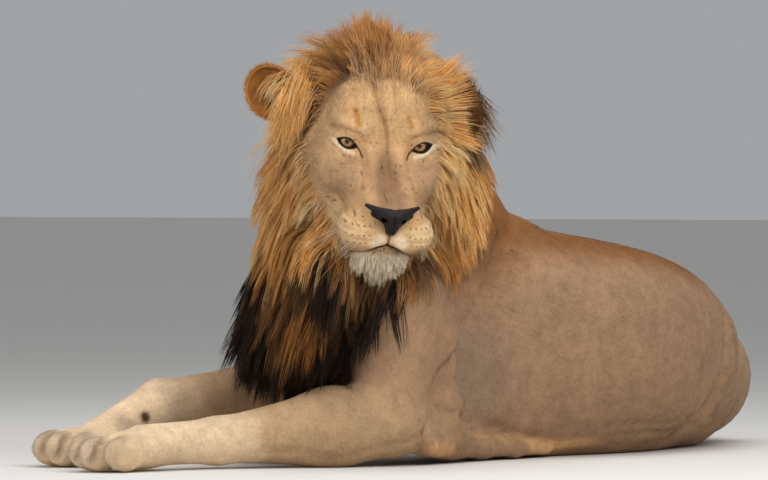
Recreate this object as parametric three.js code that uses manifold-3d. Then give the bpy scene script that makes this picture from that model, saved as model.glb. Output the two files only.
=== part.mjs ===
// A life-size adult male lion at rest: chest down with both forelegs stretched out, the hips rolled
// onto the left haunch with both hind feet out to the right, and the head turned to its left.
// Millimetres, +Z up, the floor at Z = 0. The lion lies along X and heads towards -X, so its left
// side faces -Y. Places are measured from the floor under the middle of the eyes, and the finished
// group is then moved to stand over its own middle.
//
// The flesh is made of named masses: eggs for the big muscles and tapered bars for the limbs. Each
// node is a skin drawn round its own masses, out to the tips of the coat, and thin cuts then part
// it from its neighbours.

import * as THREE from "three";
import { mergeVertices } from "three/addons/utils/BufferGeometryUtils.js";
import Module from "manifold-3d";

const wasm = await Module();
wasm.setup();

// ---------------------------------------------------------------- driving sizes

const EYE_HEIGHT = 532;
const EYE_SPREAD = 61; // from the middle of the face to the centre of an eye
const EYE_RADIUS = 19.5;
const HEAD_TURN = { yaw: -38, pitch: 22, roll: 3.8 }; // degrees: to the left, nose down, right side up
const FACE_DEPTH = 78; // the face is parted from the neck on a plane this far behind the eyes
const CUT = 0.4; // gap between two nodes that meet on one plane or along one skin
const WIDE_CUT = 4; // gap between a node and a coarse copy of the neighbour that shapes it

const COAT = { tan: 0xb08a62, paw: 0xc7a67c, gold: 0xb8783a, dark: 0x3a2a20, nose: 0x2c2422, iris: 0x8a6534 };
const FUR = 0.85; // roughness of the coat
const WET = 0.2; // roughness of an eye

const { degToRad, radToDeg, clamp, lerp } = THREE.MathUtils;
const V = (x, y, z) => new THREE.Vector3(x, y, z);
const between = (a, b, t) => a.map((v, i) => lerp(v, b[i], t));

// ---------------------------------------------------------------- masses

// A place with its own axes. A head, an ear or a paw is shaped facing -Y, with its left at +X.
function place(at, { yaw = 0, pitch = 0, roll = 0 } = {}, parent = new THREE.Matrix4()) {
  const turn = new THREE.Euler(degToRad(pitch), degToRad(roll), degToRad(yaw), "ZXY");
  const local = new THREE.Matrix4().compose(V(...at), new THREE.Quaternion().setFromEuler(turn), V(1, 1, 1));
  return parent.clone().multiply(local);
}

const BODY = place([0, 0, 0]);
const HEAD = place([0, 0, EYE_HEIGHT], HEAD_TURN);
const inPlace = (points, frame) => points.map((p) => V(...p).applyMatrix4(frame).toArray());

// An egg-shaped mass, as the distance from a point to its surface, negative inside.
function egg(at, radii, turn = {}, parent = BODY) {
  const inverse = place(at, turn, parent).invert();
  const r = V(...radii);
  const q = V(0, 0, 0);
  return (p) => {
    q.copy(p).applyMatrix4(inverse).divide(r);
    const k = q.length();
    return k < 1e-6 ? -Math.min(...radii) : (k * (k - 1)) / q.divide(r).length();
  };
}

// A round bar that tapers from one point to the next.
function bar(from, to, fromRadius, toRadius, parent = BODY) {
  const a = V(...from).applyMatrix4(parent);
  const ab = V(...to).applyMatrix4(parent).sub(a);
  const q = V(0, 0, 0);
  return (p) => {
    const t = clamp(q.copy(p).sub(a).dot(ab) / ab.lengthSq(), 0, 1);
    return q.addScaledVector(ab, -t).length() - lerp(fromRadius, toRadius, t);
  };
}

// Bars end to end along a line of points, with a radius at each point.
const bars = (points, radii, parent) =>
  points.slice(1).map((p, i) => bar(points[i], p, radii[i], radii[i + 1], parent));

// One side of the lion is +1 for its left and -1 for its right, in places that face -Y.
const SIDES = { left: 1, right: -1 };
const both = (make) => Object.values(SIDES).flatMap(make);

// Masses run into each other over about the softness.
const blend = (masses, softness) => (p) => {
  let sum = 0;
  for (const mass of masses) sum += Math.exp(-mass(p) / softness);
  return -softness * Math.log(sum + Number.MIN_VALUE);
};

// ---------------------------------------------------------------- skins

// A geometry with only its positions, each vertex held once.
function weld(geometry) {
  const bare = geometry.clone();
  for (const name of ["normal", "uv"]) bare.deleteAttribute(name);
  return mergeVertices(bare, 1e-4);
}

// The furthest place along a ray that is still in the flesh.
function surfaceAlong(field, from, way, reach) {
  const step = reach / 90;
  const p = V(0, 0, 0);
  const outside = (distance) => field(p.copy(from).addScaledVector(way, distance)) > 0;
  let far = reach;
  while (far > 0 && outside(far)) far -= step;
  let near = Math.max(far, 0);
  far = near + step;
  while (far - near > 0.01) {
    const middle = (near + far) / 2;
    if (outside(middle)) far = middle;
    else near = middle;
  }
  return from.clone().addScaledVector(way, near);
}

// A closed skin round the masses. It starts as a capsule bent along the axis, and each vertex slides
// along its own ray from the axis until it meets the flesh.
function skinRound(axisPoints, masses, detail) {
  const { softness = 12, rings = 6, sides = 16, dome = 3, reach = 400, grow = 0 } = detail;
  const soft = blend(masses, softness);
  const field = (p) => soft(p) - grow;
  const axis = new THREE.CatmullRomCurve3(axisPoints.map((p) => V(...p)), false, "centripetal");
  const skin = weld(new THREE.CapsuleGeometry(1, 1, dome, sides, rings));
  const spots = skin.attributes.position;
  for (let i = 0; i < spots.count; i++) {
    const spot = V(0, 0, 0).fromBufferAttribute(spots, i);
    const t = clamp(spot.y + 0.5, 0, 1);
    const along = axis.getTangentAt(t);
    const side = V(0, 0, 0).crossVectors(along, V(0, 0, 1)).normalize();
    const over = V(0, 0, 0).crossVectors(side, along);
    side.multiplyScalar(spot.x);
    const way = side.addScaledVector(along, spot.y + 0.5 - t).addScaledVector(over, spot.z).normalize();
    spots.setXYZ(i, ...surfaceAlong(field, axis.getPointAt(t), way, reach));
  }
  return skin;
}

// ---------------------------------------------------------------- joins and cuts

function solid(geometry) {
  const merged = weld(geometry);
  const mesh = new wasm.Mesh({
    numProp: 3,
    vertProperties: merged.attributes.position.array,
    triVerts: new Uint32Array(merged.index.array),
  });
  return new wasm.Manifold(mesh);
}

const skinned = (axis, masses, detail = {}) => solid(skinRound(axis, masses, detail));

// A block that stands for one side of a plane: the side that the plane's normal points to.
function halfSpace(point, normal) {
  const size = 4000;
  const block = new THREE.BoxGeometry(size, size, size).translate(0, 0, size / 2);
  const turn = new THREE.Quaternion().setFromUnitVectors(V(0, 0, 1), V(...normal).normalize());
  return solid(block.applyQuaternion(turn).translate(...point));
}

// An egg as a plain cutter.
const eggCutter = (at, radii, parent) =>
  solid(new THREE.SphereGeometry(1, 12, 8).scale(...radii).translate(...at).applyMatrix4(parent));

function geometryOf(body) {
  const mesh = body.getMesh();
  const geometry = new THREE.BufferGeometry();
  geometry.setAttribute("position", new THREE.Float32BufferAttribute(mesh.vertProperties, mesh.numProp));
  geometry.setIndex([...mesh.triVerts]);
  return geometry;
}

const aboveFloor = halfSpace([0, 0, 0], [0, 0, 1]);
const lion = new THREE.Group();

// Adds a node: the floor and the cutters shape the body, and the biggest piece is kept.
function addNode(name, body, colour, { roughness = FUR, cutters = [] } = {}) {
  const cut = cutters.reduce((left, cutter) => left.subtract(cutter), body.intersect(aboveFloor));
  const piece = cut.decompose().sort((a, b) => b.volume() - a.volume())[0];
  const material = new THREE.MeshStandardMaterial({ color: colour, roughness, metalness: 0 });
  const mesh = new THREE.Mesh(geometryOf(piece), material);
  mesh.name = name;
  lion.add(mesh);
}

// Flesh that also cuts its neighbours: returns a copy of itself, larger by the cut.
function addFlesh(name, axis, masses, detail, colour, cutters = []) {
  addNode(name, skinned(axis, masses, detail), colour, { cutters });
  return skinned(axis, masses, { ...detail, grow: CUT });
}

// ---------------------------------------------------------------- head

const NOSE = { at: [0, -138, -72], radii: [40, 22, 20] };
const EYE_SET = 4; // how far the eyes' centres lie behind the line that the head is measured from

const faceMasses = [
  egg([0, 100, 14], [98, 120, 88], {}, HEAD),
  egg([0, 34, 38], [86, 56, 66], {}, HEAD),
  egg([0, -84, -104], [64, 60, 46], {}, HEAD),
  egg([0, -86, -150], [44, 40, 28], {}, HEAD),
  egg([0, -20, -108], [62, 96, 58], {}, HEAD),
  ...both((s) => [
    egg([s * 48, 4, 29], [34, 22, 13], { yaw: s * 12, roll: s * 8 }, HEAD),
    egg([s * 62, 12, 0], [36, 30, 30], { yaw: s * 20 }, HEAD),
    bar([s * 14, -8, -16], [s * 13, -112, -80], 27, 28, HEAD),
    egg([s * 43, -98, -112], [42, 48, 37], { yaw: s * 8 }, HEAD),
    egg([s * 72, 50, -48], [42, 82, 70], {}, HEAD),
    bar([s * 50, -50, -56], [s * 82, 50, -30], 32, 30, HEAD),
    bar([s * 32, -80, -146], [s * 70, 70, -108], 28, 46, HEAD),
  ]),
];

const headAxis = inPlace([[0, 130, 0], [0, 30, -30], [0, -50, -72], [0, -88, -98]], HEAD);
const rearward = V(0, 1, 0).transformDirection(HEAD);
const faceRear = (gap) => inPlace([[0, FACE_DEPTH + gap, 0]], HEAD)[0];
const behindFace = halfSpace(faceRear(0), rearward.toArray());
const faceSide = halfSpace(faceRear(CUT), rearward.clone().negate().toArray());
const headDetail = { softness: 9, rings: 11, sides: 20, dome: 4, reach: 300 };
const headCutter = skinned(headAxis, faceMasses, { ...headDetail, grow: CUT });

function eyeBall(side, radius) {
  const ball = new THREE.SphereGeometry(radius, 10, 8).rotateX(Math.PI / 2);
  return solid(ball.translate(side * EYE_SPREAD, EYE_SET, 0).applyMatrix4(HEAD));
}

// The opening between the lids, in front of an eye.
function lidOpening(side) {
  const x = side * EYE_SPREAD;
  const masses = [egg([x, -36, -1], [21, 44, 12], { yaw: side * 8, roll: side * -8 }, HEAD)];
  const axis = inPlace([[x, -60, -1], [x, -8, -1]], HEAD);
  return skinned(axis, masses, { softness: 3, rings: 1, sides: 8, reach: 90 });
}

function addHead() {
  const noseDetail = { softness: 5, rings: 2, sides: 8, reach: 90 };
  const noseAxis = inPlace([-14, 14].map((x) => [x, NOSE.at[1], NOSE.at[2]]), HEAD);
  const noseMasses = [egg(NOSE.at, NOSE.radii, {}, HEAD), egg([0, -140, -92], [16, 18, 20], {}, HEAD)];
  const noseCutter = addFlesh("nose", noseAxis, noseMasses, noseDetail, COAT.nose);
  const openings = Object.values(SIDES).map(lidOpening);
  const eyeHoles = Object.values(SIDES).map((side) => eyeBall(side, EYE_RADIUS + CUT));
  for (const [name, side] of Object.entries(SIDES)) {
    addNode(`eye_${name}`, eyeBall(side, EYE_RADIUS), COAT.iris, { roughness: WET });
  }
  addNode("head", skinned(headAxis, faceMasses, headDetail), COAT.tan, {
    cutters: [behindFace, noseCutter, ...openings, ...eyeHoles],
  });
}

// ---------------------------------------------------------------- ears

// An ear is a round cup. The right one listens forward and the left one is turned back.
const EAR = {
  left: { at: [170, 116, 34], turn: { yaw: 118, pitch: -6, roll: 24 } },
  right: { at: [-172, 112, 34], turn: { yaw: -24, pitch: -6, roll: -30 } },
};
const EAR_RADII = [44, 26, 54];
const EAR_BOWL = [37, 30, 43];

function addEar(name) {
  const { at, turn } = EAR[name];
  const frame = place(at, turn, HEAD);
  const shell = [egg([0, 0, 0], EAR_RADII, {}, frame)];
  const shellAxis = inPlace([[0, 0, -22], [0, 0, 22]], frame);
  const hollowAxis = inPlace([[0, -24, -8], [0, -24, 8]], frame);
  const cup = skinned(shellAxis, shell, { rings: 2, sides: 10, reach: 130 });
  const bowl = [egg([0, -27, 4], EAR_BOWL, {}, frame)];
  const hollow = skinned(hollowAxis, bowl, { rings: 1, sides: 8, reach: 90 });
  addNode(`ear_${name}`, cup.subtract(hollow), COAT.gold);
  return eggCutter([0, 0, 0], EAR_RADII.map((r) => r + WIDE_CUT), frame);
}

// ---------------------------------------------------------------- trunk

// The backbone bends to the left in plan: heading is the way that it runs to the rear, in degrees
// from +X, and roll tips the hips onto the left haunch. Radii are along, across and up.
const TRUNK = [
  { name: "breast", at: [150, 245, 190], radii: [120, 128, 150], heading: -20, roll: 0 },
  { name: "withers", at: [330, 182, 235], radii: [190, 138, 205], heading: -20, roll: 0 },
  { name: "ribs", at: [500, 136, 192], radii: [190, 162, 203], heading: -12, roll: 0 },
  { name: "last ribs", at: [660, 124, 180], radii: [170, 170, 195], heading: 2, roll: 5 },
  { name: "belly", at: [800, 138, 168], radii: [160, 170, 189], heading: 14, roll: 12 },
  { name: "loin", at: [930, 182, 160], radii: [150, 162, 177], heading: 26, roll: 22 },
  { name: "hips", at: [1060, 258, 158], radii: [140, 146, 155], heading: 37, roll: 32 },
  { name: "croup", at: [1150, 330, 142], radii: [118, 120, 126], heading: 40, roll: 35 },
];

// The shoulder blades stand up behind the withers, clear of the backbone's line, and the lower ribs
// bulge out as far as the elbow, down to the floor.
const BLADES = { at: [452, 122, 300], radii: [118, 92, 126], heading: -16, roll: 0 };
const LOWER_RIBS = [
  { at: [300, 142, 98], radii: [170, 98, 98], heading: -20, roll: 0 },
  { at: [430, 126, 94], radii: [150, 92, 94], heading: -14, roll: 0 },
];

function addTrunk() {
  const masses = [...TRUNK, BLADES, ...LOWER_RIBS].map(({ at, radii: [along, across, up], heading, roll }) =>
    egg(at, [across, along, up], { yaw: heading - 90, roll }),
  );
  const detail = { softness: 16, rings: 13, sides: 16, dome: 3 };
  return addFlesh("trunk", TRUNK.map(({ at }) => at), masses, detail, COAT.tan);
}

// ---------------------------------------------------------------- legs

// Each leg lists its joints from the body outwards.
const FORELEG = {
  left: {
    blade: [300, 82, 380],
    shoulder: [92, 66, 292],
    elbow: [84, 50, 75],
    wrist: [-176, 206, 46],
    toes: [-424, 284, 30],
  },
  right: {
    blade: [340, 275, 370],
    shoulder: [165, 322, 292],
    elbow: [228, 335, 102],
    wrist: [-92, 410, 102],
    toes: [-335, 446, 34],
  },
};
const HINDLEG = {
  left: { hip: [1160, 251, 120], knee: [850, 100, 90], hock: [700, 262, 48], toes: [470, 365, 26] },
  right: { hip: [1091, 380, 200], knee: [775, 440, 122], hock: [985, 632, 50], toes: [715, 712, 26] },
};

// The middle toes reach furthest: each toe outwards steps back and turns out.
const TOE = { length: 44, setBack: 30, step: 13, splay: 7 };

// A paw faces the way from the wrist or hock to the toes: a flat pad with four toes side by side.
function pawMasses(wrist, toes, { width, height }) {
  const [dx, dy] = [toes[0] - wrist[0], toes[1] - wrist[1]];
  const length = Math.hypot(dx, dy);
  const frame = place([toes[0], toes[1], 0], { yaw: radToDeg(Math.atan2(dy, dx)) + 90 });
  const toeMasses = [-1.5, -0.5, 0.5, 1.5].map((n) => {
    const at = [n * width * 0.24, TOE.setBack + n * n * TOE.step, height * 0.42];
    return egg(at, [width * 0.165, TOE.length, height * 0.42], { yaw: n * TOE.splay }, frame);
  });
  return [
    bar([0, length, wrist[2]], [0, length * 0.45, height * 0.56], height * 0.52, height * 0.48, frame),
    egg([0, length * 0.38, height * 0.46], [width * 0.45, length * 0.34, height * 0.46], {}, frame),
    ...toeMasses,
  ];
}

function addForeleg(name, trunk, mane) {
  const { blade, shoulder, elbow, wrist, toes } = FORELEG[name];
  const midForearm = between(elbow, wrist, 0.35);
  const triceps = between(shoulder, elbow, 0.5).map((v, i) => v + [72, 0, 22][i]);
  const upperMasses = [
    bar(blade, shoulder, 56, 82),
    bar(shoulder, elbow, 84, 62),
    egg(triceps, [84, 58, 112], { yaw: -14 }),
  ];
  const armMasses = bars([elbow, midForearm, wrist], [62, 66, 40]);
  const armDetail = { rings: 4, sides: 12, reach: 200 };
  const armCutters = [trunk, ...mane];
  const forearm = addFlesh(`forearm_${name}`, [elbow, wrist], armMasses, armDetail, COAT.tan, armCutters);
  const paw = pawMasses(wrist, toes, { width: 124, height: 74 });
  const pawAxis = [wrist, [...between(wrist, toes, 0.55).slice(0, 2), 44], between(wrist, toes, 0.86)];
  const pawDetail = { softness: 5, rings: 6, sides: 12, reach: 200 };
  addFlesh(`forepaw_${name}`, pawAxis, paw, pawDetail, COAT.paw, [forearm]);
  const upperDetail = { softness: 14, rings: 3, sides: 10, reach: 330 };
  const upperCutters = [...armCutters, forearm];
  addFlesh(`upper_arm_${name}`, [shoulder, elbow], upperMasses, upperDetail, COAT.tan, upperCutters);
}

function addHindleg(name, trunk) {
  const { hip, knee, hock, toes } = HINDLEG[name];
  const thighMasses = bars([hip, between(hip, knee, 0.5), knee], [118, 110, 74]);
  const thighDetail = { rings: 4, sides: 12, reach: 300 };
  const thigh = addFlesh(`thigh_${name}`, [hip, knee], thighMasses, thighDetail, COAT.tan, [trunk]);
  const shankMasses = bars([knee, between(knee, hock, 0.4), hock], [66, 54, 35]);
  const shankDetail = { rings: 3, sides: 10, reach: 200 };
  const shank = addFlesh(`shank_${name}`, [knee, hock], shankMasses, shankDetail, COAT.tan, [trunk, thigh]);
  const ankle = between(hock, toes, 0.4);
  const footMasses = [bar(hock, ankle, 33, 29), ...pawMasses(ankle, toes, { width: 104, height: 66 })];
  const footAxis = [hock, [...between(hock, toes, 0.6).slice(0, 2), 36], between(hock, toes, 0.9)];
  const footDetail = { softness: 5, rings: 7, sides: 10, reach: 200 };
  addFlesh(`hindpaw_${name}`, footAxis, footMasses, footDetail, COAT.paw, [trunk, thigh, shank]);
}

// ---------------------------------------------------------------- tail

// The tail leaves the croup, comes down to the floor and sweeps round behind the feet.
const TAIL = [
  [1215, 395, 150],
  [1318, 450, 78],
  [1390, 550, 30],
  [1380, 690, 26],
  [1280, 800, 25],
  [1140, 862, 25],
  [1040, 875, 34],
];
const TAIL_NODES = [
  { name: "tail_root", from: 0, to: 0.4, radii: [36, 32, 28, 25], colour: COAT.tan },
  { name: "tail", from: 0.404, to: 0.84, radii: [25, 23, 21, 18], colour: COAT.tan },
  { name: "tail_tuft", from: 0.85, to: 1, radii: [20, 36, 32, 10], colour: COAT.dark },
];

function addTail(trunk) {
  const line = new THREE.CatmullRomCurve3(TAIL.map((p) => V(...p)));
  let before = trunk;
  for (const { name, from, to, radii, colour } of TAIL_NODES) {
    const points = radii.map((r, i) => line.getPointAt(lerp(from, to, i / (radii.length - 1))).toArray());
    const detail = { softness: 4, rings: 6, sides: 8, dome: 2, reach: 90 };
    before = addFlesh(name, points, bars(points, radii), detail, colour, [before]);
  }
}

// ---------------------------------------------------------------- mane

// The crest stands up between the ears in spikes, and a lock of it sweeps up before the left ear.
const crestMasses = [
  egg([-20, 86, 112], [126, 52, 82], {}, HEAD),
  ...[-3, -2, -1, 0, 1, 2].map((n) => {
    const tip = [n * 42 - 24, 92, 236 - n * n * 9];
    return bar([n * 30, 70, 120], tip, 32, 8, HEAD);
  }),
  bar([80, 84, 76], [136, 104, 136], 40, 8, HEAD),
];

// The ruff beside the face ends in three locks.
const cheekMasses = (s) => [
  ...bars(
    [[s * 112, 84, 84], [s * 138, 60, -40], [s * 142, 44, -140], [s * 124, 26, -262]],
    [34, 58, 56, 14],
    HEAD,
  ),
  bar([s * 112, 40, -120], [s * 78, 16, -236], 50, 14, HEAD),
  bar([s * 132, 84, -80], [s * 158, 84, -232], 52, 14, HEAD),
];

const neckMasses = [
  egg([82, 102, 492], [192, 192, 186]),
  egg([205, 142, 436], [176, 172, 176]),
  egg([330, 172, 372], [165, 132, 150]),
];

// The bib hangs from the throat and the chest and ends in a row of locks.
const bibMasses = [
  egg([20, 96, 330], [150, 130, 110]),
  egg([24, 180, 270], [116, 138, 110]),
  ...[-3, -2, -1, 0, 1, 2].map((n) => {
    const root = [20, 170 + n * 42, 250 - n * 8];
    const tip = [-22 - n * 6, 178 + n * 44, 112 + (n < 0 ? n * n * 16 : n * 22)];
    return bar(root, tip, 66, 12);
  }),
];

function addMane(ears, trunk) {
  const crestAxis = inPlace([[-40, 88, 96], [30, 88, 96]], HEAD);
  const crestDetail = { softness: 7, rings: 5, sides: 14, reach: 260 };
  const crest = addFlesh("mane_crest", crestAxis, crestMasses, crestDetail, COAT.gold, [headCutter, ...ears]);
  const cheeks = Object.entries(SIDES).map(([name, s]) => {
    const axis = inPlace([[s * 122, 74, 30], [s * 138, 58, -90], [s * 130, 42, -190]], HEAD);
    const detail = { softness: 8, rings: 5, sides: 10, reach: 220 };
    const cutters = [headCutter, crest, ...ears];
    return addFlesh(`mane_cheek_${name}`, axis, cheekMasses(s), detail, COAT.gold, cutters);
  });
  const neckAxis = [[80, 100, 480], [190, 150, 430], [290, 178, 380]];
  const neckDetail = { softness: 20, rings: 4, sides: 12 };
  const neckCutters = [faceSide, crest, ...cheeks, ...ears, trunk];
  const neck = addFlesh("mane_neck", neckAxis, neckMasses, neckDetail, COAT.gold, neckCutters);
  const bibAxis = [[30, 110, 320], [16, 175, 240]];
  const bibDetail = { softness: 12, rings: 4, sides: 14 };
  const bibCutters = [headCutter, neck, ...cheeks, trunk];
  const bib = addFlesh("mane_bib", bibAxis, bibMasses, bibDetail, COAT.dark, bibCutters);
  return [neck, bib, ...cheeks];
}

// ---------------------------------------------------------------- the whole lion

addHead();
const ears = Object.keys(SIDES).map(addEar);
const trunk = addTrunk();
const mane = addMane(ears, trunk);
for (const name of Object.keys(SIDES)) {
  addForeleg(name, trunk, mane);
  addHindleg(name, trunk);
}
addTail(trunk);

// The origin is under the middle of the whole lion, on the floor.
const bounds = new THREE.Box3().setFromObject(lion);
const middle = bounds.getCenter(V(0, 0, 0));
lion.position.set(-middle.x, -middle.y, -bounds.min.z);

export default lion;
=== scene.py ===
"""The looks of a life-size male lion at rest, a still model as a museum shows one.

One skin covers the flesh. The eyes, their rims, the nose, the ears and the whiskers are pieces of
their own, and the coat is solid mesh over the skin: short tufts that lie flat on the body and long
locks in the mane. Everything is shaped in millimetres in the lion's own frame, which stands on the
floor under the middle of the eyes, and each finished piece is then put in the model's frame.
"""

import math
from collections import namedtuple
from functools import partial

import bmesh
import bpy
import numpy as np
from mathutils import Matrix, Vector
from mathutils.bvhtree import BVHTree


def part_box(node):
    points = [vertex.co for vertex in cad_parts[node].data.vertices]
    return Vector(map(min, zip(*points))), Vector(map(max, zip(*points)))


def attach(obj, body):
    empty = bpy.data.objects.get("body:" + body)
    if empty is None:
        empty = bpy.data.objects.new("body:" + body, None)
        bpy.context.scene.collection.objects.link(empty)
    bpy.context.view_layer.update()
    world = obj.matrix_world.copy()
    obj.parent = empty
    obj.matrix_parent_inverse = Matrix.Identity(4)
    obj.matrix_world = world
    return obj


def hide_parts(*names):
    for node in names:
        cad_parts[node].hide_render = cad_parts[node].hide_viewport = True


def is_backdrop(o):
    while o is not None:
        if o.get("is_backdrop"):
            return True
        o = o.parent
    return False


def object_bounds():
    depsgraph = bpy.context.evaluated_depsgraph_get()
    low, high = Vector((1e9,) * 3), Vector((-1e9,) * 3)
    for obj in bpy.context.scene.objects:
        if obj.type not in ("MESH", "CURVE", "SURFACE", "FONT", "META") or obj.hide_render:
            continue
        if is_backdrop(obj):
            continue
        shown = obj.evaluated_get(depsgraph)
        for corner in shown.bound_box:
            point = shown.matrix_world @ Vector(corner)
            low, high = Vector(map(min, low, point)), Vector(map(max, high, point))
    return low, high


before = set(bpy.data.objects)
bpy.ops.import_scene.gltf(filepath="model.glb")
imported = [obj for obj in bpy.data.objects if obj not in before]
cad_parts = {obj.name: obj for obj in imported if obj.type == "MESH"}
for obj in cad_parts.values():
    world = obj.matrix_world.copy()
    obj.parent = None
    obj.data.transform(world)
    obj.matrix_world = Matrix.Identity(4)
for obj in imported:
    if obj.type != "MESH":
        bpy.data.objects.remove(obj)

CAD_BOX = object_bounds()
rng = np.random.default_rng(11)

# ---------------------------------------------------------------- driving sizes, in millimetres

EYE_HEIGHT = 532
EYE_SPREAD = 61  # from the middle of the face to the centre of an eye
EYE_SET = 4  # how far the eyes' centres lie behind the line that the head is measured from
EYE_RADIUS = 19.5
HEAD_TURN = {"yaw": -38, "pitch": 22, "roll": 3.8}  # degrees: to the left, nose down, right side up
SIDES = {"left": 1, "right": -1}  # a head, ear or paw faces -Y with its left at +X
VOXEL = 10.6  # size of the skin's first faces
FLOOR_GAP = 1.0  # the coat's lowest hairs stay this far above the floor


def unit(vectors):
    return vectors / np.maximum(np.linalg.norm(vectors, axis=-1, keepdims=True), 1e-9)


def smooth(low, high, value):
    """From 0 at low to 1 at high, with soft ends."""
    t = np.clip((value - low) / (high - low), 0, 1)
    return t * t * (3 - 2 * t)


# ---------------------------------------------------------------- places

BODY = Matrix.Identity(4)


def place(at, yaw=0, pitch=0, roll=0, parent=BODY):
    """A place with its own axes, as a matrix."""
    turn = Matrix.Rotation(math.radians(yaw), 4, "Z")
    turn @= Matrix.Rotation(math.radians(pitch), 4, "X")
    turn @= Matrix.Rotation(math.radians(roll), 4, "Y")
    return parent @ Matrix.Translation(at) @ turn


def into(matrix, points):
    """Points in the lion's frame, seen in a place's own axes."""
    inverse = np.array(matrix.inverted())
    return points @ inverse[:3, :3].T + inverse[:3, 3]


def out_of(matrix, points):
    """Points in a place's own axes, put in the lion's frame."""
    m = np.array(matrix)
    return np.atleast_2d(np.array(points, float)) @ m[:3, :3].T + m[:3, 3]


def turned(matrix, ways):
    return unit(np.atleast_2d(np.array(ways, float)) @ np.array(matrix)[:3, :3].T)


def both(make):
    """What make gives for the left side and for the right side, in one list."""
    return [thing for side in SIDES.values() for thing in make(side)]


HEAD = place((0, 0, EYE_HEIGHT), **HEAD_TURN)


def model_place():
    """Takes the lion's frame to the model's, which the middle of the two eyes gives."""
    middles = [sum(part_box(f"eye_{side}"), Vector()) / 2 for side in SIDES]
    eyes = (middles[0] + middles[1]) / 2
    return Matrix.Translation(eyes - 0.001 * (HEAD @ Vector((0, EYE_SET, 0)))) @ Matrix.Scale(0.001, 4)


TO_MODEL = model_place()

# ---------------------------------------------------------------- masses of flesh

Mass = namedtuple("Mass", "distance balls")
Group = namedtuple("Group", "name masses softness depth")


def egg(at, radii, parent=BODY, **turn):
    """An egg-shaped mass: how far points are from its surface, and the ball that roughs it out."""
    own = place(at, parent=parent, **turn)
    r = np.array(radii, float)

    def distance(points):
        q = into(own, points) / r
        k = np.linalg.norm(q, axis=1)
        return k * (k - 1) / np.maximum(np.linalg.norm(q / r, axis=1), 1e-9)

    return Mass(distance, [own @ Matrix.Diagonal((*radii, 1))])


def bar(start, end, start_radius, end_radius, parent=BODY):
    """A round bar that tapers from one point to the next, roughed out by a row of balls."""
    a, b = (parent @ Vector(point) for point in (start, end))
    along = np.array(b - a)

    def distance(points):
        t = np.clip((points - np.array(a)) @ along / (along @ along), 0, 1)
        gap = np.linalg.norm(points - np.array(a) - t[:, None] * along, axis=1)
        return gap - (start_radius + (end_radius - start_radius) * t)

    steps = np.linspace(0, 1, 7)
    size = start_radius + (end_radius - start_radius) * steps
    balls = [Matrix.Translation(a.lerp(b, t)) @ Matrix.Scale(r, 4) for t, r in zip(steps, size)]
    return Mass(distance, balls)


def rounded(rows):
    """A path whose corners are cut, so that it bends more smoothly."""
    rows = np.array(rows, float)
    early = rows[:-1] * 0.75 + rows[1:] * 0.25
    late = rows[:-1] * 0.25 + rows[1:] * 0.75
    inner = np.stack([early, late], 1).reshape(-1, rows.shape[1])[1:-1]
    return np.vstack([rows[:1], inner, rows[-1:]])


def bars(points, radii, parent=BODY):
    """Bars end to end along a line of points, with a radius at each point."""
    pairs = zip(points, points[1:], radii, radii[1:])
    return [bar(a, b, ra, rb, parent) for a, b, ra, rb in pairs]


def soft_union(distances, softness):
    stack = np.stack(distances)
    low = stack.min(0)
    return low - softness * np.log(np.exp((low - stack) / softness).sum(0))


FAR = 80.0  # beyond this a group of masses has no say


def group_distance(group, points):
    """How far points are from a group's soft union, with the coat's depth taken off it."""
    centres = np.array([ball.translation for mass in group.masses for ball in mass.balls])
    reach = np.array([max(ball.to_scale()) for mass in group.masses for ball in mass.balls])[:, None]
    low, high = (centres - reach).min(0) - FAR, (centres + reach).max(0) + FAR
    near = ((points > low) & (points < high)).all(1)
    result = np.full(len(points), FAR)
    if near.any():
        flesh = [mass.distance(points[near]) for mass in group.masses]
        result[near] = soft_union(flesh, group.softness) + group.depth
    return result


FACE = [
    egg((0, 100, 14), (98, 120, 88), HEAD),
    egg((0, 34, 38), (86, 56, 66), HEAD),
    egg((0, -84, -104), (62, 58, 46), HEAD),
    egg((0, -88, -152), (42, 36, 26), HEAD),
    egg((-4, -20, -108), (66, 96, 58), HEAD),
    egg((0, -126, -66), (33, 26, 16), HEAD),
    *both(lambda s: [
        egg((s * 48, 3, 28), (36, 24, 13), HEAD, yaw=s * 12, roll=-s * 10),
        egg((s * 62, 12, 0), (36, 30, 30), HEAD, yaw=s * 20),
        bar((s * 22, -8, -10), (s * 24, -112, -72), 20, 20, HEAD),
        egg((s * 43, -98, -112), (43, 46, 35), HEAD, yaw=s * 8),
        egg((s * 72, 50, -48), (42, 82, 70), HEAD),
        bar((s * 50, -50, -56), (s * 82, 50, -30), 32, 30, HEAD),
        bar((s * 32, -80, -146), (s * 70, 70, -108), 28, 46, HEAD),
    ]),
]

NECK = [
    egg((86, 112, 470), (136, 138, 140)),
    egg((205, 144, 430), (148, 146, 150)),
    egg((330, 172, 370), (156, 124, 140)),
    egg((26, 104, 330), (96, 88, 84)),
    egg((44, 180, 262), (86, 112, 104)),
]

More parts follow.
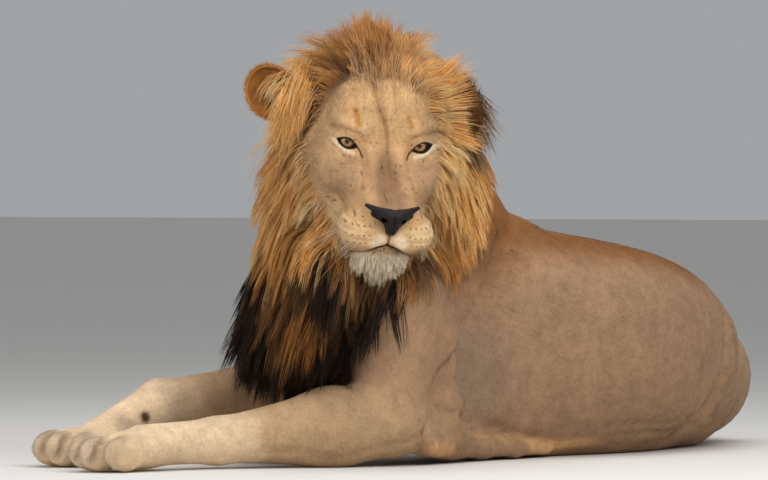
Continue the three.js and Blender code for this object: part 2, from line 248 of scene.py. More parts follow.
# at, radii along, across and up, heading and roll in degrees
TRUNK = [
    ((150, 245, 190), (120, 128, 150), -20, 0),
    ((330, 182, 235), (190, 138, 205), -20, 0),
    ((500, 136, 192), (190, 162, 203), -12, 0),
    ((660, 124, 180), (170, 170, 195), 2, 5),
    ((800, 138, 168), (160, 170, 189), 14, 12),
    ((930, 182, 160), (150, 162, 177), 26, 22),
    ((1060, 258, 158), (140, 146, 155), 37, 32),
    ((1150, 330, 142), (118, 120, 126), 40, 35),
]
BELLY = [(140, 22, 40), (230, 44, 34), (320, 52, 24), (410, 50, 18), (500, 56, 14)]
BELLY_RADII = [30, 30, 22, 16, 12]
LOWER_RIBS = [
    egg((197, 66, 86), (72, 72, 86)),
    egg((300, 142, 98), (98, 170, 98), yaw=-110),
    egg((430, 126, 94), (92, 150, 94), yaw=-104),
]
BLADES = egg((452, 122, 300), (92, 118, 126), yaw=-106)

FORELEG = {
    "left": {
        "blade": (300, 82, 380),
        "shoulder": (92, 66, 292),
        "elbow": (84, 50, 75),
        "wrist": (-176, 206, 46),
        "toes": (-424, 284, 30),
    },
    "right": {
        "blade": (340, 275, 370),
        "shoulder": (165, 322, 292),
        "elbow": (228, 335, 102),
        "wrist": (-92, 410, 102),
        "toes": (-335, 446, 34),
    },
}
HINDLEG = {
    "left": {
        "hip": (1160, 251, 120),
        "knee": (850, 100, 90),
        "hock": (700, 262, 48),
        "toes": (470, 365, 26),
    },
    "right": {
        "hip": (1091, 380, 200),
        "knee": (775, 440, 122),
        "hock": (985, 632, 50),
        "toes": (715, 712, 26),
    },
}
TOE = {"length": 44, "set_back": 30, "step": 13, "splay": 7, "apart": 0.24}  # apart: a share of the width
PAW = {"fore": (124, 74), "hind": (104, 66)}  # width and height
TAIL = [
    (1215, 395, 150),
    (1318, 450, 78),
    (1390, 550, 30),
    (1380, 690, 26),
    (1280, 800, 25),
    (1140, 862, 25),
    (1040, 875, 30),
]
TAIL_RADII = [32, 27, 22, 20, 18, 15, 9]


def between(a, b, t):
    return tuple(Vector(a).lerp(Vector(b), t))


def paw_place(wrist, toes):
    """A paw's own axes on the floor under its toes, facing the way that the toes point."""
    away = Vector(toes) - Vector(wrist)
    return place((toes[0], toes[1], 0), yaw=math.degrees(math.atan2(away.y, away.x)) + 90)


def cleft(n, width, height, offset, runs, rises):
    """A line up one cleft of a paw: how far back it starts and runs, and its share of the height."""
    x = n * width * TOE["apart"]
    start = TOE["set_back"] - TOE["length"] + offset + abs(n) * 12
    return [
        (x, start, height * rises[0]),
        (x, start + runs[0], height * rises[1]),
        (x * 0.9, start + runs[1], height * rises[2]),
    ]


def ankle_of(name):
    """Where a hind foot meets the floor."""
    return between(HINDLEG[name]["hock"], HINDLEG[name]["toes"], 0.4)


def paws():
    """Each paw's own axes, with its width and height."""
    for name in SIDES:
        yield paw_place(FORELEG[name]["wrist"], FORELEG[name]["toes"]), *PAW["fore"]
        yield paw_place(ankle_of(name), HINDLEG[name]["toes"]), *PAW["hind"]


def paw_masses(wrist, toes, size):
    """A flat pad with four toes side by side, the middle ones furthest forward."""
    width, height = size
    own = paw_place(wrist, toes)
    length = (Vector(toes) - Vector(wrist)).xy.length
    masses = [
        bar((0, length, wrist[2]), (0, length * 0.45, height * 0.56), height * 0.52, height * 0.48, own),
        egg((0, length * 0.38, height * 0.46), (width * 0.45, length * 0.34, height * 0.46), own),
    ]
    for n in (-1.5, -0.5, 0.5, 1.5):
        at = (n * width * TOE["apart"], TOE["set_back"] + n * n * TOE["step"], height * 0.42)
        masses.append(egg(at, (width * 0.165, TOE["length"], height * 0.42), own, yaw=n * TOE["splay"]))
    return masses


def foreleg_groups(name):
    blade, shoulder, elbow, wrist, toes = FORELEG[name].values()
    triceps = Vector(between(shoulder, elbow, 0.5)) + Vector((72, 0, 22))
    upper = [
        bar(blade, shoulder, 56, 82),
        bar(shoulder, elbow, 84, 62),
        egg(triceps, (84, 58, 112), yaw=-14),
    ]
    lower = bars([elbow, between(elbow, wrist, 0.35), wrist], [62, 66, 40])
    return [
        Group(f"foreleg_{name}", upper, 14, 5),
        Group(f"foreleg_{name}", lower, 12, 4),
        Group(f"forepaw_{name}", paw_masses(wrist, toes, PAW["fore"]), 3, 2),
    ]


def hindleg_groups(name):
    hip, knee, hock, toes = HINDLEG[name].values()
    ankle = ankle_of(name)
    thigh = bars([hip, between(hip, knee, 0.5), knee], [118, 110, 74])
    shank = bars([knee, between(knee, hock, 0.4), hock], [66, 54, 35])
    foot = [bar(hock, ankle, 33, 29), *paw_masses(ankle, toes, PAW["hind"])]
    return [
        Group(f"hindleg_{name}", thigh, 12, 5),
        Group(f"hindleg_{name}", shank, 12, 4),
        Group(f"hindpaw_{name}", foot, 3, 2),
    ]


def trunk_masses():
    """Each egg lies along the backbone, which bends to the left, and rolls with the hips."""
    rows = np.array([[*at, *radii, heading, roll] for at, radii, heading, roll in TRUNK])
    steps = np.linspace(0, len(rows) - 1, (len(rows) - 1) * 4 + 1)
    for row in zip(*[np.interp(steps, np.arange(len(rows)), column) for column in rows.T]):
        x, y, z, along, across, up, heading, roll = row
        yield egg((x, y, z), (across, along, up), yaw=heading - 90, roll=roll)


def tail_masses():
    """The tail's bars, bent smoothly round its turns."""
    path = rounded(rounded([[*at, radius] for at, radius in zip(TAIL, TAIL_RADII)]))
    return bars(path[:, :3], path[:, 3])


FLESH = [
    Group("head", FACE, 7, 2),
    Group("neck", NECK, 20, 0),
    Group("trunk", [*trunk_masses(), BLADES, *LOWER_RIBS], 12, 12),
    Group("belly", bars(BELLY, BELLY_RADII), 6, 4),
    *[group for name in SIDES for group in foreleg_groups(name)],
    *[group for name in SIDES for group in hindleg_groups(name)],
    Group("tail", tail_masses(), 4, 3),
]
JOIN = 7  # how softly one group runs into the next


def skin_distance(points, groups=FLESH):
    return soft_union([group_distance(group, points) for group in groups], JOIN)


# ---------------------------------------------------------------- the skin's mesh


def get_points(mesh):
    points = np.empty(len(mesh.vertices) * 3)
    mesh.vertices.foreach_get("co", points)
    return points.reshape(-1, 3)


def get_normals(mesh):
    normals = np.empty(len(mesh.vertices) * 3)
    mesh.vertex_normals.foreach_get("vector", normals)
    return normals.reshape(-1, 3)


def set_points(mesh, points):
    mesh.vertices.foreach_set("co", np.ascontiguousarray(points).ravel())
    mesh.update()


def reshape(mesh, change):
    """Puts the mesh through a function of its bmesh."""
    bm = bmesh.new()
    bm.from_mesh(mesh)
    change(bm)
    bm.to_mesh(mesh)
    bm.free()
    mesh.update()


def mesh_of(name, points, faces):
    """A mesh from arrays of points and three-cornered faces."""
    mesh = bpy.data.meshes.new(name)
    mesh.vertices.add(len(points))
    mesh.loops.add(faces.size)
    mesh.polygons.add(len(faces))
    mesh.loops.foreach_set("vertex_index", faces.ravel().astype(np.int32))
    mesh.polygons.foreach_set("loop_start", np.arange(0, faces.size, 3, dtype=np.int32))
    mesh.polygons.foreach_set("use_smooth", np.ones(len(faces), bool))
    set_points(mesh, points)
    mesh.update(calc_edges=True)
    return mesh


def unit_ball():
    """A ball's points and faces, to join many of them."""
    bm = bmesh.new()
    bmesh.ops.create_icosphere(bm, subdivisions=4, radius=1)
    points = np.array([vert.co for vert in bm.verts])
    faces = np.array([[vert.index for vert in face.verts] for face in bm.faces])
    bm.free()
    return points, faces


def shell_of(masses, voxel):
    """The balls of every mass, joined into one closed mesh of even faces by a voxel remesh."""
    ball_points, ball_faces = unit_ball()
    balls = [ball for mass in masses for ball in mass.balls]
    points = np.concatenate([out_of(ball, ball_points) for ball in balls])
    faces = np.concatenate([ball_faces + n * len(ball_points) for n in range(len(balls))])
    piece = bpy.data.objects.new("rough", mesh_of("rough", points, faces))
    bpy.context.scene.collection.objects.link(piece)
    remesh = piece.modifiers.new("one shell", "REMESH")
    remesh.mode = "VOXEL"
    remesh.voxel_size = voxel
    mesh = bpy.data.meshes.new_from_object(piece.evaluated_get(bpy.context.evaluated_depsgraph_get()))
    bpy.data.objects.remove(piece)
    return mesh


def shade_smooth(mesh):
    for face in mesh.polygons:
        face.use_smooth = True


def settle(mesh, rounds):
    """Slides each vertex along its normal until it meets the flesh."""
    for _ in range(rounds):
        points = get_points(mesh)
        step = np.clip(skin_distance(points), -12, 12)
        points -= get_normals(mesh) * step[:, None] * 0.9
        set_points(mesh, points)


def soften(bm, rounds=1):
    """Moves each vertex half way to the middle of its neighbours."""
    axes = {"use_axis_x": True, "use_axis_y": True, "use_axis_z": True}
    for _ in range(rounds):
        bmesh.ops.smooth_vert(bm, verts=bm.verts, factor=0.5, **axes)


def relax(mesh, rounds):
    reshape(mesh, lambda bm: soften(bm, rounds))


def refine(mesh, zone):
    """Halves the faces in the zone, a function of points."""

    def change(bm):
        inside = zone(np.array([v.co for v in bm.verts]))
        edges = [e for e in bm.edges if inside[e.verts[0].index] and inside[e.verts[1].index]]
        bmesh.ops.subdivide_edges(bm, edges=edges, cuts=1, use_grid_fill=True)

    reshape(mesh, change)


def unwrap(mesh):
    """An unwrap of the skin's own shape, which gives each tuft its place in the coat's map."""
    piece = bpy.data.objects.new("unwrapping", mesh)
    bpy.context.scene.collection.objects.link(piece)
    bpy.context.view_layer.objects.active = piece
    bpy.ops.object.mode_set(mode="EDIT")
    bpy.ops.mesh.select_all(action="SELECT")
    bpy.ops.uv.smart_project(angle_limit=math.radians(66), island_margin=0.004)
    bpy.ops.object.mode_set(mode="OBJECT")
    bpy.data.objects.remove(piece)
    mesh.uv_layers[0].name = "OFBake"


# ---------------------------------------------------------------- zones of the head

# The hairline round the face, as a distance from a point between the eyes and the nose for each
# angle from straight up.
HAIRLINE_CENTRE = -35
HAIRLINE_SHIFT = 13  # the left side's ruff falls further over the face
HAIRLINE_ANGLES = [0, 27, 49, 75, 105, 127, 146, 162, 180]
HAIRLINE_REACH = [140, 137, 125, 109, 106, 113, 126, 144, 152]


def beyond_hairline(points):
    """How far points on the head are outside the face, negative on the face."""
    x, y, z = into(HEAD, points).T
    chin = (34 - np.hypot(x * 0.8, z + 182)) * 0.7
    x = np.abs(x + HAIRLINE_SHIFT * smooth(-110, -60, z))
    angle = np.degrees(np.arctan2(x, z - HAIRLINE_CENTRE))
    outside = np.hypot(x, z - HAIRLINE_CENTRE) - np.interp(angle, HAIRLINE_ANGLES, HAIRLINE_REACH)
    throat = np.where(z < -128, (y + 52) * 0.8, -99)
    return np.maximum.reduce([outside, y - 78, throat, chin])


def head_zone(grow, y_limit):
    """Skin of the head in front of a plane."""

    def zone(points):
        y = into(HEAD, points)[:, 1]
        return (group_distance(FLESH[0], points) < grow) & (y < y_limit)

    return zone


def fine_zone(points):
    """The lids, the muzzle's front and the mouth."""
    x, y, z = into(HEAD, points).T
    eyes = (np.hypot(np.abs(x) - EYE_SPREAD, (z - 2) * 1.15) < 33) & (y < 12)
    muzzle = (np.hypot(x / 72, (z + 116) / 62) < 1) & (y < -70)
    return eyes | muzzle


def paw_zone(points):
    return np.any([group_distance(g, points) < 10 for g in FLESH if "paw" in g.name], axis=0)


# ---------------------------------------------------------------- folds and lines

Line = namedtuple("Line", "points width amount")


def line_distance(line_points, points):
    """How far points are from a line through a few points, or from a lone point."""
    best = np.linalg.norm(points - line_points[0], axis=1)
    for a, b in zip(line_points, line_points[1:]):
        along = b - a
        t = np.clip((points - a) @ along / (along @ along), 0, 1)
        best = np.minimum(best, np.linalg.norm(points - a - t[:, None] * along, axis=1))
    return best


def line(points, width, amount, parent=BODY):
    return Line(out_of(parent, points), width, amount)


def on_face(points):
    """Which points lie on the front of the head, and their places as its front shows them."""
    own = into(HEAD, points)
    below = (own[:, 2] < -140) & (own[:, 1] > -50)
    near = (own[:, 1] < 62) & (np.abs(own[:, 0]) < 125) & (np.abs(own[:, 2]) < 230) & ~below
    return near, own[:, [0, 2]]


def face_line(points, width, amount):
    """A line drawn on the face, as its front shows it: x to the left and z up."""
    return Line(np.array(points, float), width, amount)


def mirrored(points, s):
    return [(s * x, z) for x, z in points]


MOUTH = [(0, -125), (14, -131), (30, -142), (45, -151), (57, -155), (66, -153)]
PHILTRUM = [(0, -92), (0, -125)]

# Folds are rows of points, a width and how far they stand up, negative where they sink.
SIDE_FOLDS = [  # on the left of the face, and mirrored on the right
    (MOUTH, 3.2, -7),
    ([(30, -166), (52, -166), (66, -160)], 7, -2.5),  # under the lower lip
    ([(86, 22), (64, 27), (44, 20)], 5, -3),  # over the lid
    ([(92, 2), (68, -14), (46, -18)], 4, -2),  # under the lid
    ([(82, -26), (64, -30), (48, -34)], 5, -1.5),
    ([(42, 6), (37, -12), (38, -28)], 8, -5),  # the eye's inner hollow
    ([(48, -28), (54, -46), (60, -60)], 12, -3.5),  # beside the bridge
    ([(62, -66), (84, -92), (88, -130)], 15, -3),  # behind the pad
    ([(28, -93), (50, -88), (76, -86)], 3.6, -2.0),  # between the rows of whiskers
    ([(28, -105), (50, -101), (78, -101)], 3.6, -2.0),
    ([(28, -117), (50, -115), (76, -116)], 3.6, -2.0),
]
FACE_FOLDS = [
    face_line(PHILTRUM, 2.6, -4),
    face_line([(-22, 95), (-15, 65), (-8, 48), (1, 20)], 8, -4.5),  # forehead furrow
    *both(lambda s: [face_line(mirrored(points, s), *size) for points, *size in SIDE_FOLDS]),
]
THIGH_CREASE = [(1020, 44, 236), (967, 25, 164), (937, 27, 106), (886, 34, 56), (836, 50, 22)]
BODY_FOLDS = [
    ([(372, 40, 372), (340, 42, 310), (296, 44, 250), (236, 24, 200), (170, 0, 150), (120, -6, 60)],
     14, -13),  # behind the shoulder
    ([(150, -10, 96), (210, 8, 84), (300, 34, 62), (400, 44, 42), (520, 40, 24)], 8, -7),  # over the belly
    (THIGH_CREASE, 17, -13),
    (THIGH_CREASE, 6, -7),
    ([(1064, 80, 200), (1014, 60, 120), (940, 70, 60)], 44, 9),  # the thigh's own swell behind its crease
    ([(840, 20, 62), (900, 40, 66), (960, 80, 74)], 6, -4),  # wrinkles under the flank
    ([(850, 28, 44), (915, 52, 46), (975, 96, 54)], 6, -4),
    ([(620, 10, 60), (720, 0, 52), (800, 5, 46)], 8, -4),
    ([(640, 20, 40), (740, 10, 32), (830, 20, 28)], 7, -4),
    ([(-150, 128, 22), (-40, 72, 18), (40, 12, 30), (100, -25, 50)], 7, -4),  # under the forearm
    ([(58, 10, 150), (66, -2, 120), (72, -8, 92)], 5, -2.5),
]


def toe_lines():
    """The clefts between the toes of each paw."""
    for own, width, height in paws():
        for n in (-1, 0, 1):
            yield line(cleft(n, width, height, 6, (12, 44), (0.2, 0.62, 0.88)), 4.5, -4.5, own)


FOLDS = [*[line(*fold) for fold in BODY_FOLDS], *toe_lines()]
FOLD_STEP = 14  # a fold's line is laid on the skin at steps of this length


def laid_on(bvh, line_points):
    """A line's points at even steps, each moved to the nearest place on the skin."""
    steps = [a + (b - a) * t for a, b in zip(line_points, line_points[1:])
             for t in np.linspace(0, 1, max(int(np.linalg.norm(b - a) / FOLD_STEP), 1), endpoint=False)]
    return np.array([bvh.find_nearest(Vector(point))[0] for point in [*steps, line_points[-1]]])


def relief(points, bvh):
    """How far each point of the skin is raised, negative in a fold."""
    height = np.zeros(len(points))
    for fold in FOLDS:
        gap = line_distance(laid_on(bvh, fold.points), points)
        height += fold.amount * np.exp(-((gap / fold.width) ** 2))
    near, flat = on_face(points)
    for fold in FACE_FOLDS:
        height[near] += fold.amount * np.exp(-((line_distance(fold.points, flat[near]) / fold.width) ** 2))
    return height


# ---------------------------------------------------------------- eyes

# Each eye's own axes: -Y looks out between the lids, and +X is turned to the outer corner by side.
EYE_PLACES = {s: place((s * EYE_SPREAD, EYE_SET, 0), yaw=s * 6, pitch=-13, roll=-s * 17, parent=HEAD)
              for s in SIDES.values()}
LID_HALF = 17.5  # from the middle of the opening to its outer corner
LID_RISE = 7.4
LID_DROP = 7.6
POCKET = 16.0  # the skin behind the eyeball lies this far from its centre
GAZE = (-0.12, -0.94, 0.30)  # the way that both eyes look, in the head's axes


def lid_gap(points, side):
    """How far points are outside the almond between the lids, negative inside it, and their depth."""
    x, y, z = into(EYE_PLACES[side], points).T
    x = x * side
    arch = 1 - np.minimum((x / LID_HALF) ** 2, 1.6)
    return np.maximum(z - LID_RISE * arch, -LID_DROP * arch - z), y


def open_lids(points):
    """Sinks the skin between the lids to behind the eyeball."""
    for side in SIDES.values():
        gap, y = lid_gap(points, side)
        centre = np.array(EYE_PLACES[side].translation)
        away = points - centre
        reach = np.linalg.norm(away, axis=1, keepdims=True)
        sunk = centre + away / reach * POCKET
        share = (smooth(0.7, -0.9, gap) * ((y < 0) & (reach[:, 0] < 45)))[:, None]
        points = points + (sunk - points) * share
    return points


def make_skin():
    mesh = shell_of([mass for group in FLESH for mass in group.masses], VOXEL)
    relax(mesh, 3)
    settle(mesh, 4)
    relax(mesh, 1)
    settle(mesh, 2)
    unwrap(mesh)
    refine(mesh, head_zone(30, 130))
    refine(mesh, paw_zone)
    settle(mesh, 2)
    refine(mesh, lambda points: head_zone(14, 80)(points) & (beyond_hairline(points) < 22))
    settle(mesh, 2)
    refine(mesh, fine_zone)
    settle(mesh, 2)
    relax(mesh, 1)
    settle(mesh, 1)
    points = get_points(mesh)
    bvh = BVHTree.FromPolygons(points.tolist(), [tuple(face.vertices) for face in mesh.polygons])
    points += get_normals(mesh) * relief(points, bvh)[:, None]
    points = open_lids(points)
    points[:, 2] = np.maximum(points[:, 2], FLOOR_GAP)
    set_points(mesh, points)
    return mesh


# ---------------------------------------------------------------- colours


def linear(code):
    """An sRGB hex colour as linear RGB."""
    srgb = np.array([int(code[i : i + 2], 16) for i in (0, 2, 4)]) / 255
    return np.where(srgb <= 0.04045, srgb / 12.92, ((srgb + 0.055) / 1.055) ** 2.4)


COLOURS = {name: linear(code) for name, code in {
    "tan": "967659", "grey": "84705e", "spine": "7d5029", "paw": "dcc19f", "foreleg": "b4946f",
    "belly": "c99c6c", "rump": "a08468", "face": "c69d6f", "cheek": "b8946c", "bridge": "86664a",
    "cream": "d2b284", "white": "e8d6b8", "chin": "ddcaae", "brow": "b0702a", "fleck_and_cleft_shade": "46301f",
    "rim": "130d0a", "mouth": "20140f", "gold": "e6a75e", "light": "f2c27e", "rust": "b87a3a",
    "umber": "6b4522", "dark": "21140a", "black": "120b06", "streak": "8f5824", "ear": "b07436",
    "knuckle": "6e6255", "deep": "4a2c14", "strand": "dcb27a", "lock": "e3a762", "shadow": "735a3d",
}.items()}

# A patch of colour is an egg that fades at its edge, and a stripe follows a line.
Patch = namedtuple("Patch", "gap colour strength fade")


def patch(at, radii, colour, strength=1.0, fade=16):
    return Patch(egg(at, radii).distance, COLOURS[colour], strength, fade)


def stripe(points, width, colour, strength=1.0, fade=None):
    spots = np.array([tuple(point) for point in points], float)
    return Patch(lambda p: line_distance(spots, p) - width, COLOURS[colour], strength, fade or width * 1.6)


def leg_stripes(name):
    """The paler coat of one side's legs."""
    elbow, wrist, toes = [FORELEG[name][joint] for joint in ("elbow", "wrist", "toes")]
    yield stripe([between(elbow, wrist, 0.1), wrist, toes], 75, "foreleg", 0.9, 60)
    yield stripe([wrist, toes], 70, "paw", 0.75, 60)
    yield stripe([HINDLEG[name]["hock"], HINDLEG[name]["toes"]], 60, "paw", 0.6, 60)


def paw_marks():
    """Grey knuckles, and painted shade in the clefts between the toes."""
    for own, width, height in paws():
        for n in (-1.5, -0.5, 0.5, 1.5):
            top = (n * width * TOE["apart"], TOE["set_back"] + n * n * TOE["step"] - 14, height * 0.8)
            front = (n * width * 0.25, top[1] - 14, height * 0.42)
            yield stripe(out_of(own, [top, front]), 14, "knuckle", 0.6, 24)
        for n in (-1, 0, 1):
            # painted shade down each cleft between the toes
            path = cleft(n, width, height, 4, (14, 48), (0.1, 0.6, 0.88))
            yield stripe(out_of(own, path), 5, "fleck_and_cleft_shade", 0.75, 13)


BACKBONE = [(360, 60, 425), (520, 56, 388), (719, 62, 357), (880, 80, 326), (1040, 160, 296)]
FAR_OF_BACK = [(300, 180, 480), (520, 170, 420), (719, 170, 390), (880, 180, 360), (1040, 240, 320)]
BODY_MARKS = [
    stripe(BACKBONE, 52, "spine", 0.95, 80),
    stripe(FAR_OF_BACK, 60, "spine", 0.85, 90),
    patch((300, 60, 420), (150, 100, 120), "spine", 0.7, 110),
    patch((1120, 200, 160), (140, 150, 160), "rump", 0.5, 60),
    patch((300, 60, 150), (90, 60, 80), "grey", 0.5, 60),
    stripe([(110, -20, 20), (240, 50, 30), (420, 60, 22), (620, 20, 12)], 16, "belly", 0.85, 14),
    *[mark for name in SIDES for mark in leg_stripes(name)],
    *paw_marks(),
    stripe([(-40, 398, 104), (100, 366, 104), (228, 335, 102)], 62, "tan", 0.55, 60),  # the far forearm
    stripe([(-154, 389, 79)], 11, "fleck_and_cleft_shade", 1.0, 7),  # the far wrist's pad
    stripe([(-208, 394, 82), (-188, 396, 66)], 13, "knuckle", 0.55, 26),
    # painted shade along the thigh's crease
    stripe(THIGH_CREASE[1:], 4, "umber", 0.6, 26),
    stripe([(796, -16, 253)], 3, "fleck_and_cleft_shade", 0.6, 3),
    stripe([(403, 34, 335), (408, 34, 328)], 2, "fleck_and_cleft_shade", 0.6, 3),
]

WHISKER_ROWS = [  # the start, the end and the count of each row on the left pad
    ((46, -80), (76, -80), 4),
    ((34, -92), (80, -94), 6),
    ((34, -106), (80, -110), 6),
    ((38, -120), (76, -124), 5),
]


def whisker_spots(s):
    """The places on one pad where whiskers grow, row by row."""
    for start, end, count in WHISKER_ROWS:
        for t in np.linspace(0, 1, count):
            x, z = np.array(start) * (1 - t) + np.array(end) * t
            yield (s * x, z)


def speckles(count):
    """Small dark flecks scattered over the face, some of them short scratches."""
    for _ in range(count):
        spot = np.array([rng.uniform(-98, 85), rng.uniform(-95, 85)])
        reach = rng.normal(0, 1.1, 2)
        yield Patch(partial(fleck_gap, np.array([spot, spot + reach]), rng.uniform(0.2, 1.7)),
                    COLOURS["fleck_and_cleft_shade"], rng.uniform(0.25, 0.85), 2.4)


def fleck_gap(spots, width, flat):
    return line_distance(spots, flat) - width


def face_mark(points, width, colour, strength=1.0, fade=None):
    """A mark on the face, drawn as its front shows it."""
    gap = partial(fleck_gap, np.array(points, float), width)
    return Patch(gap, COLOURS[colour], strength, fade or width * 1.6)


PAD_PALENESS_AND_SHADE = {1: 0.85, -1: 0.45}  # of the whisker pads: the right one is darker by painted shade
SIDE_MARKS = [  # on the left of the face, and mirrored on the right
    ([(94, 20), (98, -60), (88, -115)], 30, "cheek", 0.8, 34),
    ([(60, -34), (68, -66)], 20, "tan", 0.7, 26),
    ([(38, 46), (40, 34)], 8, "cream", 0.6, 16),
    ([(26, -112), (62, -106)], 18, "cream", PAD_PALENESS_AND_SHADE, 16),
    ([(14, -112), (22, -120)], 9, "white", 0.7, 12),
    ([(84, 6), (70, -4), (52, -11)], 3.0, "white", 0.72, 7),  # under the eye
    # painted shade along the crease over the lid, under the brow's overhang
    ([(84, 24), (66, 29), (46, 24)], 2, "umber", 0.4, 10),
    ([(46, -1), (41, -7), (38, -13)], 1.6, "rim", 0.95, 3.0),
    ([(37, -14), (37, -30), (44, -48)], 1.2, "umber", 0.5, 8),
    # painted shade in the eye's inner hollow
    ([(44, 6), (38, -4)], 2, "umber", 0.4, 8),
    (MOUTH, 2.0, "mouth", 1.0, 3.6),
    ([(58, -155), (68, -153)], 2.6, "mouth", 0.9, 5),
    ([(14, -76), (30, -70)], 6, "rim", 1.0, 3),
]


def side_marks(s):
    """One side's marks and the dark spots that its whiskers grow from."""
    for points, width, colour, strength, fade in SIDE_MARKS:
        own_strength = strength[s] if strength is PAD_PALENESS_AND_SHADE else strength
        yield face_mark(mirrored(points, s), width, colour, own_strength, fade)
    for spot in whisker_spots(s):
        yield face_mark([spot], 1.3, "fleck_and_cleft_shade", 0.9, 2.2)


FACE_MARKS = [
    face_mark([(-8, 60), (-8, -60)], 78, "face", 1.0, 50),
    face_mark([(-2, -34), (-2, -70)], 31, "bridge", 0.95, 36),
    # painted shade along the forehead furrow
    face_mark([(-26, 98), (-17, 65), (-8, 48)], 3.5, "umber", 0.7, 18),
    face_mark([(-8, 48), (1, 20), (4, -4)], 2, "umber", 0.75, 10),
    face_mark([(8, 92), (10, 60)], 2, "umber", 0.4, 12),
    *both(side_marks),
    face_mark([(33, 54), (39, 39)], 3.6, "brow", 0.85, 7),
    face_mark([(-54, 57), (-49, 38)], 4.4, "brow", 0.9, 8),
    face_mark([(-26, -172), (26, -172)], 26, "chin", 1.0, 14),
    face_mark([(0, -84), (0, -96)], 9, "rim", 1.0, 4),
    face_mark(PHILTRUM, 0.9, "mouth", 1.0, 2.4),
    *speckles(150),
]


def put_mark(colour, mark, points):
    share = mark.strength * smooth(mark.fade * 0.5, -mark.fade * 0.5, mark.gap(points))
    return colour + (mark.colour - colour) * share[:, None]


def painted(points):
    """The coat's colour, with painted shade in some creases and clefts, at points near the skin: the same on
    the skin and at the root of each tuft.
    """
    colour = np.tile(COLOURS["tan"], (len(points), 1))
    for mark in BODY_MARKS:
        colour = put_mark(colour, mark, points)
    near, flat = on_face(points)
    face = colour[near]
    for mark in FACE_MARKS:
        face = put_mark(face, mark, flat[near])
    for side in SIDES.values():
        gap = lid_gap(points[near], side)[0]
        around = np.linalg.norm(points[near] - np.array(EYE_PLACES[side].translation), axis=1) < 45
        share = smooth(3.0, 1.2, gap) * around
        face += (COLOURS["rim"] - face) * share[:, None]
    colour[near] = face
    return colour


# ---------------------------------------------------------------- the lie of the coat

# A comb says how the hair lies at one place: which way, how long, and its colours at root and tip.
Comb = namedtuple("Comb", "at way length root tip region")


def comb(parent, at, way, length, root=None, tip=None, region="short"):
    root_colour = None if root is None else COLOURS[root]
    tip_colour = None if tip is None else COLOURS[tip]
    return Comb(out_of(parent, at)[0], turned(parent, way)[0], length, root_colour, tip_colour, region)


def combs(parent, rows):
    return [comb(parent, *row) for row in rows]


def leg_combs(name):
    """Short hair runs down each leg to the toes."""
    for joints in (FORELEG[name], HINDLEG[name]):
        points = [Vector(point) for point in joints.values()]
        for a, b in zip(points, points[1:]):
            for t in (0.15, 0.5, 0.85):
                yield comb(BODY, a.lerp(b, t), (b - a).normalized(), 14)
        yield comb(BODY, points[-1], (points[-1] - points[-2]).normalized(), 9)


SHORT_COMBS = [
    *combs(BODY, [
        ((330, 60, 330), (0.75, 0.1, -0.6), 17),
        ((500, -20, 200), (0.95, 0.15, -0.25), 17),
        ((700, -40, 180), (0.97, 0.1, -0.2), 17),
        ((900, 20, 150), (0.9, 0.35, -0.25), 17),
        ((1050, 120, 150), (0.7, 0.55, -0.4), 17),
        ((1150, 250, 230), (0.7, 0.6, -0.35), 18),
        ((520, 140, 400), (1, 0, 0), 18),
        ((800, 140, 370), (1, 0.1, -0.05), 18),
        ((1000, 230, 330), (0.85, 0.5, -0.1), 18),
        ((600, 300, 200), (1, 0.05, -0.2), 17),
        ((950, 400, 200), (0.85, 0.4, -0.3), 17),
        ((600, 100, 10), (1, 0, 0), 16),
    ]),
    *[mark for name in SIDES for mark in leg_combs(name)],
    *[comb(BODY, a, Vector(b) - Vector(a), 16) for a, b in zip(TAIL, TAIL[1:])],
    *combs(HEAD, [
        ((0, -140, -45), (0, 0.5, 0.85), 4),
        ((0, 40, 92), (0, 0.5, 0.85), 9),
    ]),
    *both(lambda s: combs(HEAD, [
        ((s * 15, -60, -15), (s * 0.1, 0.55, 0.8), 5),
        ((s * 30, 0, 50), (s * 0.2, 0.4, 0.9), 7),
        ((s * 70, 20, 50), (s * 0.6, 0.5, 0.6), 8),
        ((s * 90, 20, 0), (s * 0.6, 0.75, -0.1), 8),
        ((s * 62, -22, -24), (s * 0.6, 0.6, -0.4), 5),
        ((s * 70, -20, -60), (s * 0.6, 0.7, -0.25), 7),
        ((s * 45, -125, -100), (s * 0.8, 0.5, -0.3), 4),
        ((s * 70, -70, -120), (s * 0.6, 0.7, -0.4), 7),
        ((s * 85, 10, -110), (s * 0.5, 0.5, -0.8), 10),
    ])),
    *combs(HEAD, [
        ((0, -118, -158), (0, -0.1, -1), 8),
    ]),
]


def head_mane(s):
    """One side's long hair, from the temple round to the throat."""
    cheek = f"cheek_{'left' if s > 0 else 'right'}"
    behind_ear = ("shadow", "umber") if s > 0 else ("rust", "gold")
    return combs(HEAD, [
        ((s * 98, 44, 40), (s * 0.9, 0.4, -0.1), 96, "gold", "light", cheek),
        ((s * 106, 40, -10), (s * 0.86, 0.3, -0.4), 108, "gold", "light", cheek),
        ((s * 100, 14, -80), (s * 0.66, 0.3, -0.65), 108, "gold", "light", cheek),
        ((s * 78, -30, -140), (s * 0.3, 0.2, -0.9), 66, "rust", "gold", cheek),
        ((s * 80, -56, -122), (s * 0.5, 0.5, -0.7), 40, "cheek", "gold", cheek),
        ((s * 114, 84, 30), (s * 0.62, 0.3, -0.7), 120, "gold", "light", cheek),
        ((s * 114, 72, -30), (s * 0.5, 0.2, -0.8), 135, "gold", "gold", cheek),
        ((s * 108, 50, -90), (s * 0.2, 0.15, -0.97), 135, "rust", "gold", cheek),
        ((s * 80, 10, -150), (s * 0.1, 0.05, -0.99), 120, "umber", "rust", cheek),
        ((s * 50, -20, -172), (s * 0.1, 0.1, -0.99), 110, "dark", "umber", "bib"),
        ((s * 120, 130, 10), (s * 0.7, 0.4, -0.55), 110, *behind_ear, "neck"),
        ((s * 110, 190, -40), (s * 0.2, 0.6, -0.8), 110, "umber", "rust", "neck"),
    ])


